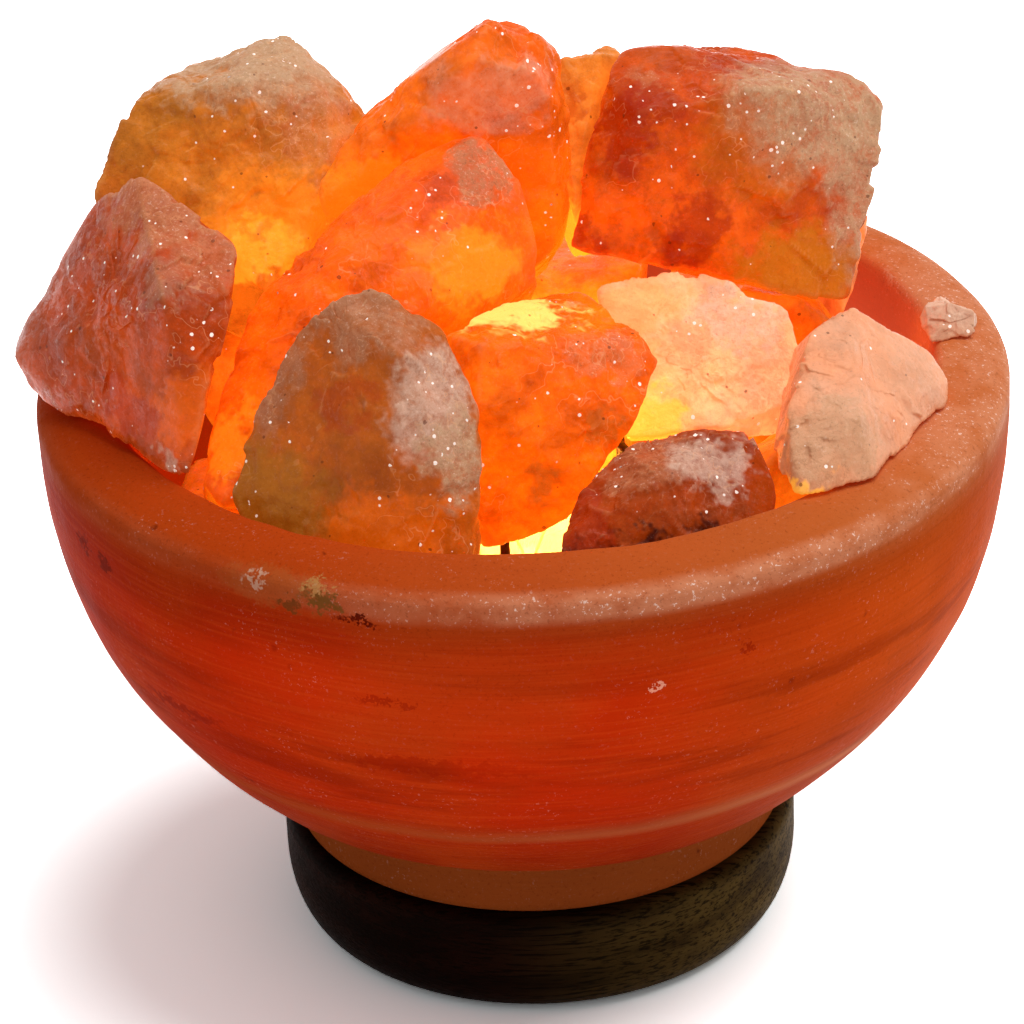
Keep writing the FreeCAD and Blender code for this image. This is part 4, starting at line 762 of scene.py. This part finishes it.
# The pale lump right of the middle: peach-coloured clear salt, lit through.
finish = salt_finish(
    "pale_salt_middle_right", linear(244, 186, 142), linear(238, 172, 122), (0.56, 0.21, 0.075, 1.0),
    0.056, 0.060,
    ((WHITE, (45, -4, 137), (9, 6, 8), 0.6), (SUN, (24, -18, 118), (6, 7, 9), 0.7),
     (LIT, (24, -2, 139), (9, 8, 7), 0.35)), painted_glint_share=0.35)
broken_lump("stone_pale", "lump_pale", "pale lump", finish, 20, rise=1.2)

# The lump at the front right: dark brown with a bed of pinkish white crystals on top.
finish = salt_finish(
    "brown_salt_front_right", linear(146, 64, 20), linear(124, 44, 8), (0.20, 0.016, 0.0, 1.0), 0.075, 0.03,
    ((MAUVE, (24, -62, 135), (13, 10, 4), 0.5), (WHITE, (36, -62, 133), (10, 8, 4), 0.5),
     (STAIN, (10, -72, 126), (5, 8, 10), 0.5), (BLACK, (26, -77, 121), (18, 7, 4), 0.9)), painted_glint_share=1.0)
broken_lump("stone_front_right", "lump_front_right", "front_right lump", finish, 21,
            crystal=1.0)

# The lump at the right, on the lip: pale pink, with a clearer beige crystal part in front.
finish = salt_finish(
    "pale_salt_right", linear(236, 174, 138), linear(230, 158, 118), (0.22, 0.055, 0.014, 1.0), 0.085, 0.04,
    ((OLIVE, (59, -62, 135), (12, 10, 8), 0.15), (FROST, (60, -60, 137), (12, 9, 8), 0.5),
     (SUN, (52, -67, 128), (5, 6, 3), 0.5)), painted_glint_share=0.5)
broken_lump("stone_right", "lump_right", "right lump", finish, 22, rise=1.2)

# A pebble of pale salt on the lip, at the right.
finish = salt_finish("pale_salt_pebble", linear(230, 186, 158), linear(220, 166, 132),
                     (0.12, 0.035, 0.015, 1.0), 0.095, 0.05, painted_glint_share=0.5)
broken_lump("stone_pebble", "lump_pebble", "pebble lump", finish, 23, detail=(120, 64), rise=0.5,
            chips=8, facets=40)

# ---------------------------------------------------------------------------------------
# The setting: a plain white floor, a soft light from above, the right and a little behind,
# an even surround, and the camera where the photograph was taken from.
# ---------------------------------------------------------------------------------------
HALF_FLOOR = 4
FLOOR_DARKER = (2.60, 2.68, 2.70, 1.0)
FLOOR_LIGHTER = (2.64, 2.72, 2.74, 1.0)
FLOOR_BOUNCE = (0.8, 0.8, 0.8, 1.0)
SURROUND = 0.31
KEY_POWER = 2.15
KEY_WIDTH = math.radians(48)
KEY_WAY = (0.34, 0.06, 0.93)


def seen_ray(tree):
    """1 on rays that show a thing to the camera, straight, mirrored or through glass."""
    rays = put(tree, "ShaderNodeLightPath").outputs
    bent = calc(tree, "MAXIMUM", rays["Is Glossy Ray"], rays["Is Transmission Ray"])
    return calc(tree, "MAXIMUM", rays["Is Camera Ray"], bent)


# The floor's tint is above 1 where it is seen, so that the soft light shows it as white paper.
plane = bpy.data.meshes.new("floor")
plane.from_pydata([(-HALF_FLOOR, -HALF_FLOOR, 0), (HALF_FLOOR, -HALF_FLOOR, 0),
                   (HALF_FLOOR, HALF_FLOOR, 0), (-HALF_FLOOR, HALF_FLOOR, 0)], [], [(0, 1, 2, 3)])
ground = bpy.data.objects.new("floor", plane)
bpy.context.scene.collection.objects.link(ground)
paper, tree, _, where = begin("floor_paper")
fibre = clouds(tree, where, 300, 3)
white_paper = blend(tree, fibre, FLOOR_DARKER, FLOOR_LIGHTER)
shown = blend(tree, seen_ray(tree), FLOOR_BOUNCE, white_paper)
matt = put(tree, "ShaderNodeBsdfDiffuse", {"Color": shown})
tree.links.new(matt.outputs[0], tree.nodes["Material Output"].inputs["Surface"])
plane.materials.append(paper)

world = bpy.data.worlds.new("surround")
bpy.context.scene.world = world
world.use_nodes = True
tree = world.node_tree
shown = blend(tree, seen_ray(tree), (SURROUND, SURROUND, SURROUND, 1.0), (1.0, 1.0, 1.0, 1.0))
tree.links.new(shown, tree.nodes["Background"].inputs["Color"])

key = bpy.data.lights.new("soft_key", "SUN")
key.energy = KEY_POWER
key.angle = KEY_WIDTH
key_lamp = bpy.data.objects.new("soft_key", key)
key_way = np.array(KEY_WAY) / np.linalg.norm(KEY_WAY)
key_lamp.rotation_euler = (math.acos(key_way[2]), 0, math.atan2(key_way[0], -key_way[1]))
bpy.context.scene.collection.objects.link(key_lamp)

VIEW_TILT = math.radians(28.14)
VIEW_PAN = math.radians(-0.24)
VIEW_ROLL = math.radians(-2.43)
VIEW_PLACE = (0.0, -0.800, 0.519)
FOCAL_PIXELS = 4340.0
IMAGE_PIXELS = 1024.0
camera = bpy.data.cameras.new("camera")
camera.sensor_fit = "HORIZONTAL"
camera.sensor_width = 36.0
camera.lens = FOCAL_PIXELS / IMAGE_PIXELS * camera.sensor_width
camera.clip_start = 0.01
forward = np.array([math.sin(VIEW_PAN) * math.cos(VIEW_TILT), math.cos(VIEW_PAN) * math.cos(VIEW_TILT),
                    -math.sin(VIEW_TILT)])
level = np.array([math.cos(VIEW_PAN), -math.sin(VIEW_PAN), 0.0])
upward = np.cross(level, forward)
right_way = math.cos(VIEW_ROLL) * level + math.sin(VIEW_ROLL) * upward
up_way = -math.sin(VIEW_ROLL) * level + math.cos(VIEW_ROLL) * upward
eye = bpy.data.objects.new("camera", camera)
bpy.context.scene.collection.objects.link(eye)
turned = np.eye(4)
turned[:3, 0], turned[:3, 1], turned[:3, 2] = right_way, up_way, -forward
turned[:3, 3] = VIEW_PLACE
eye.matrix_world = Matrix(turned.tolist())
bpy.context.scene.camera = eye
bpy.context.scene.view_settings.view_transform = "Standard"
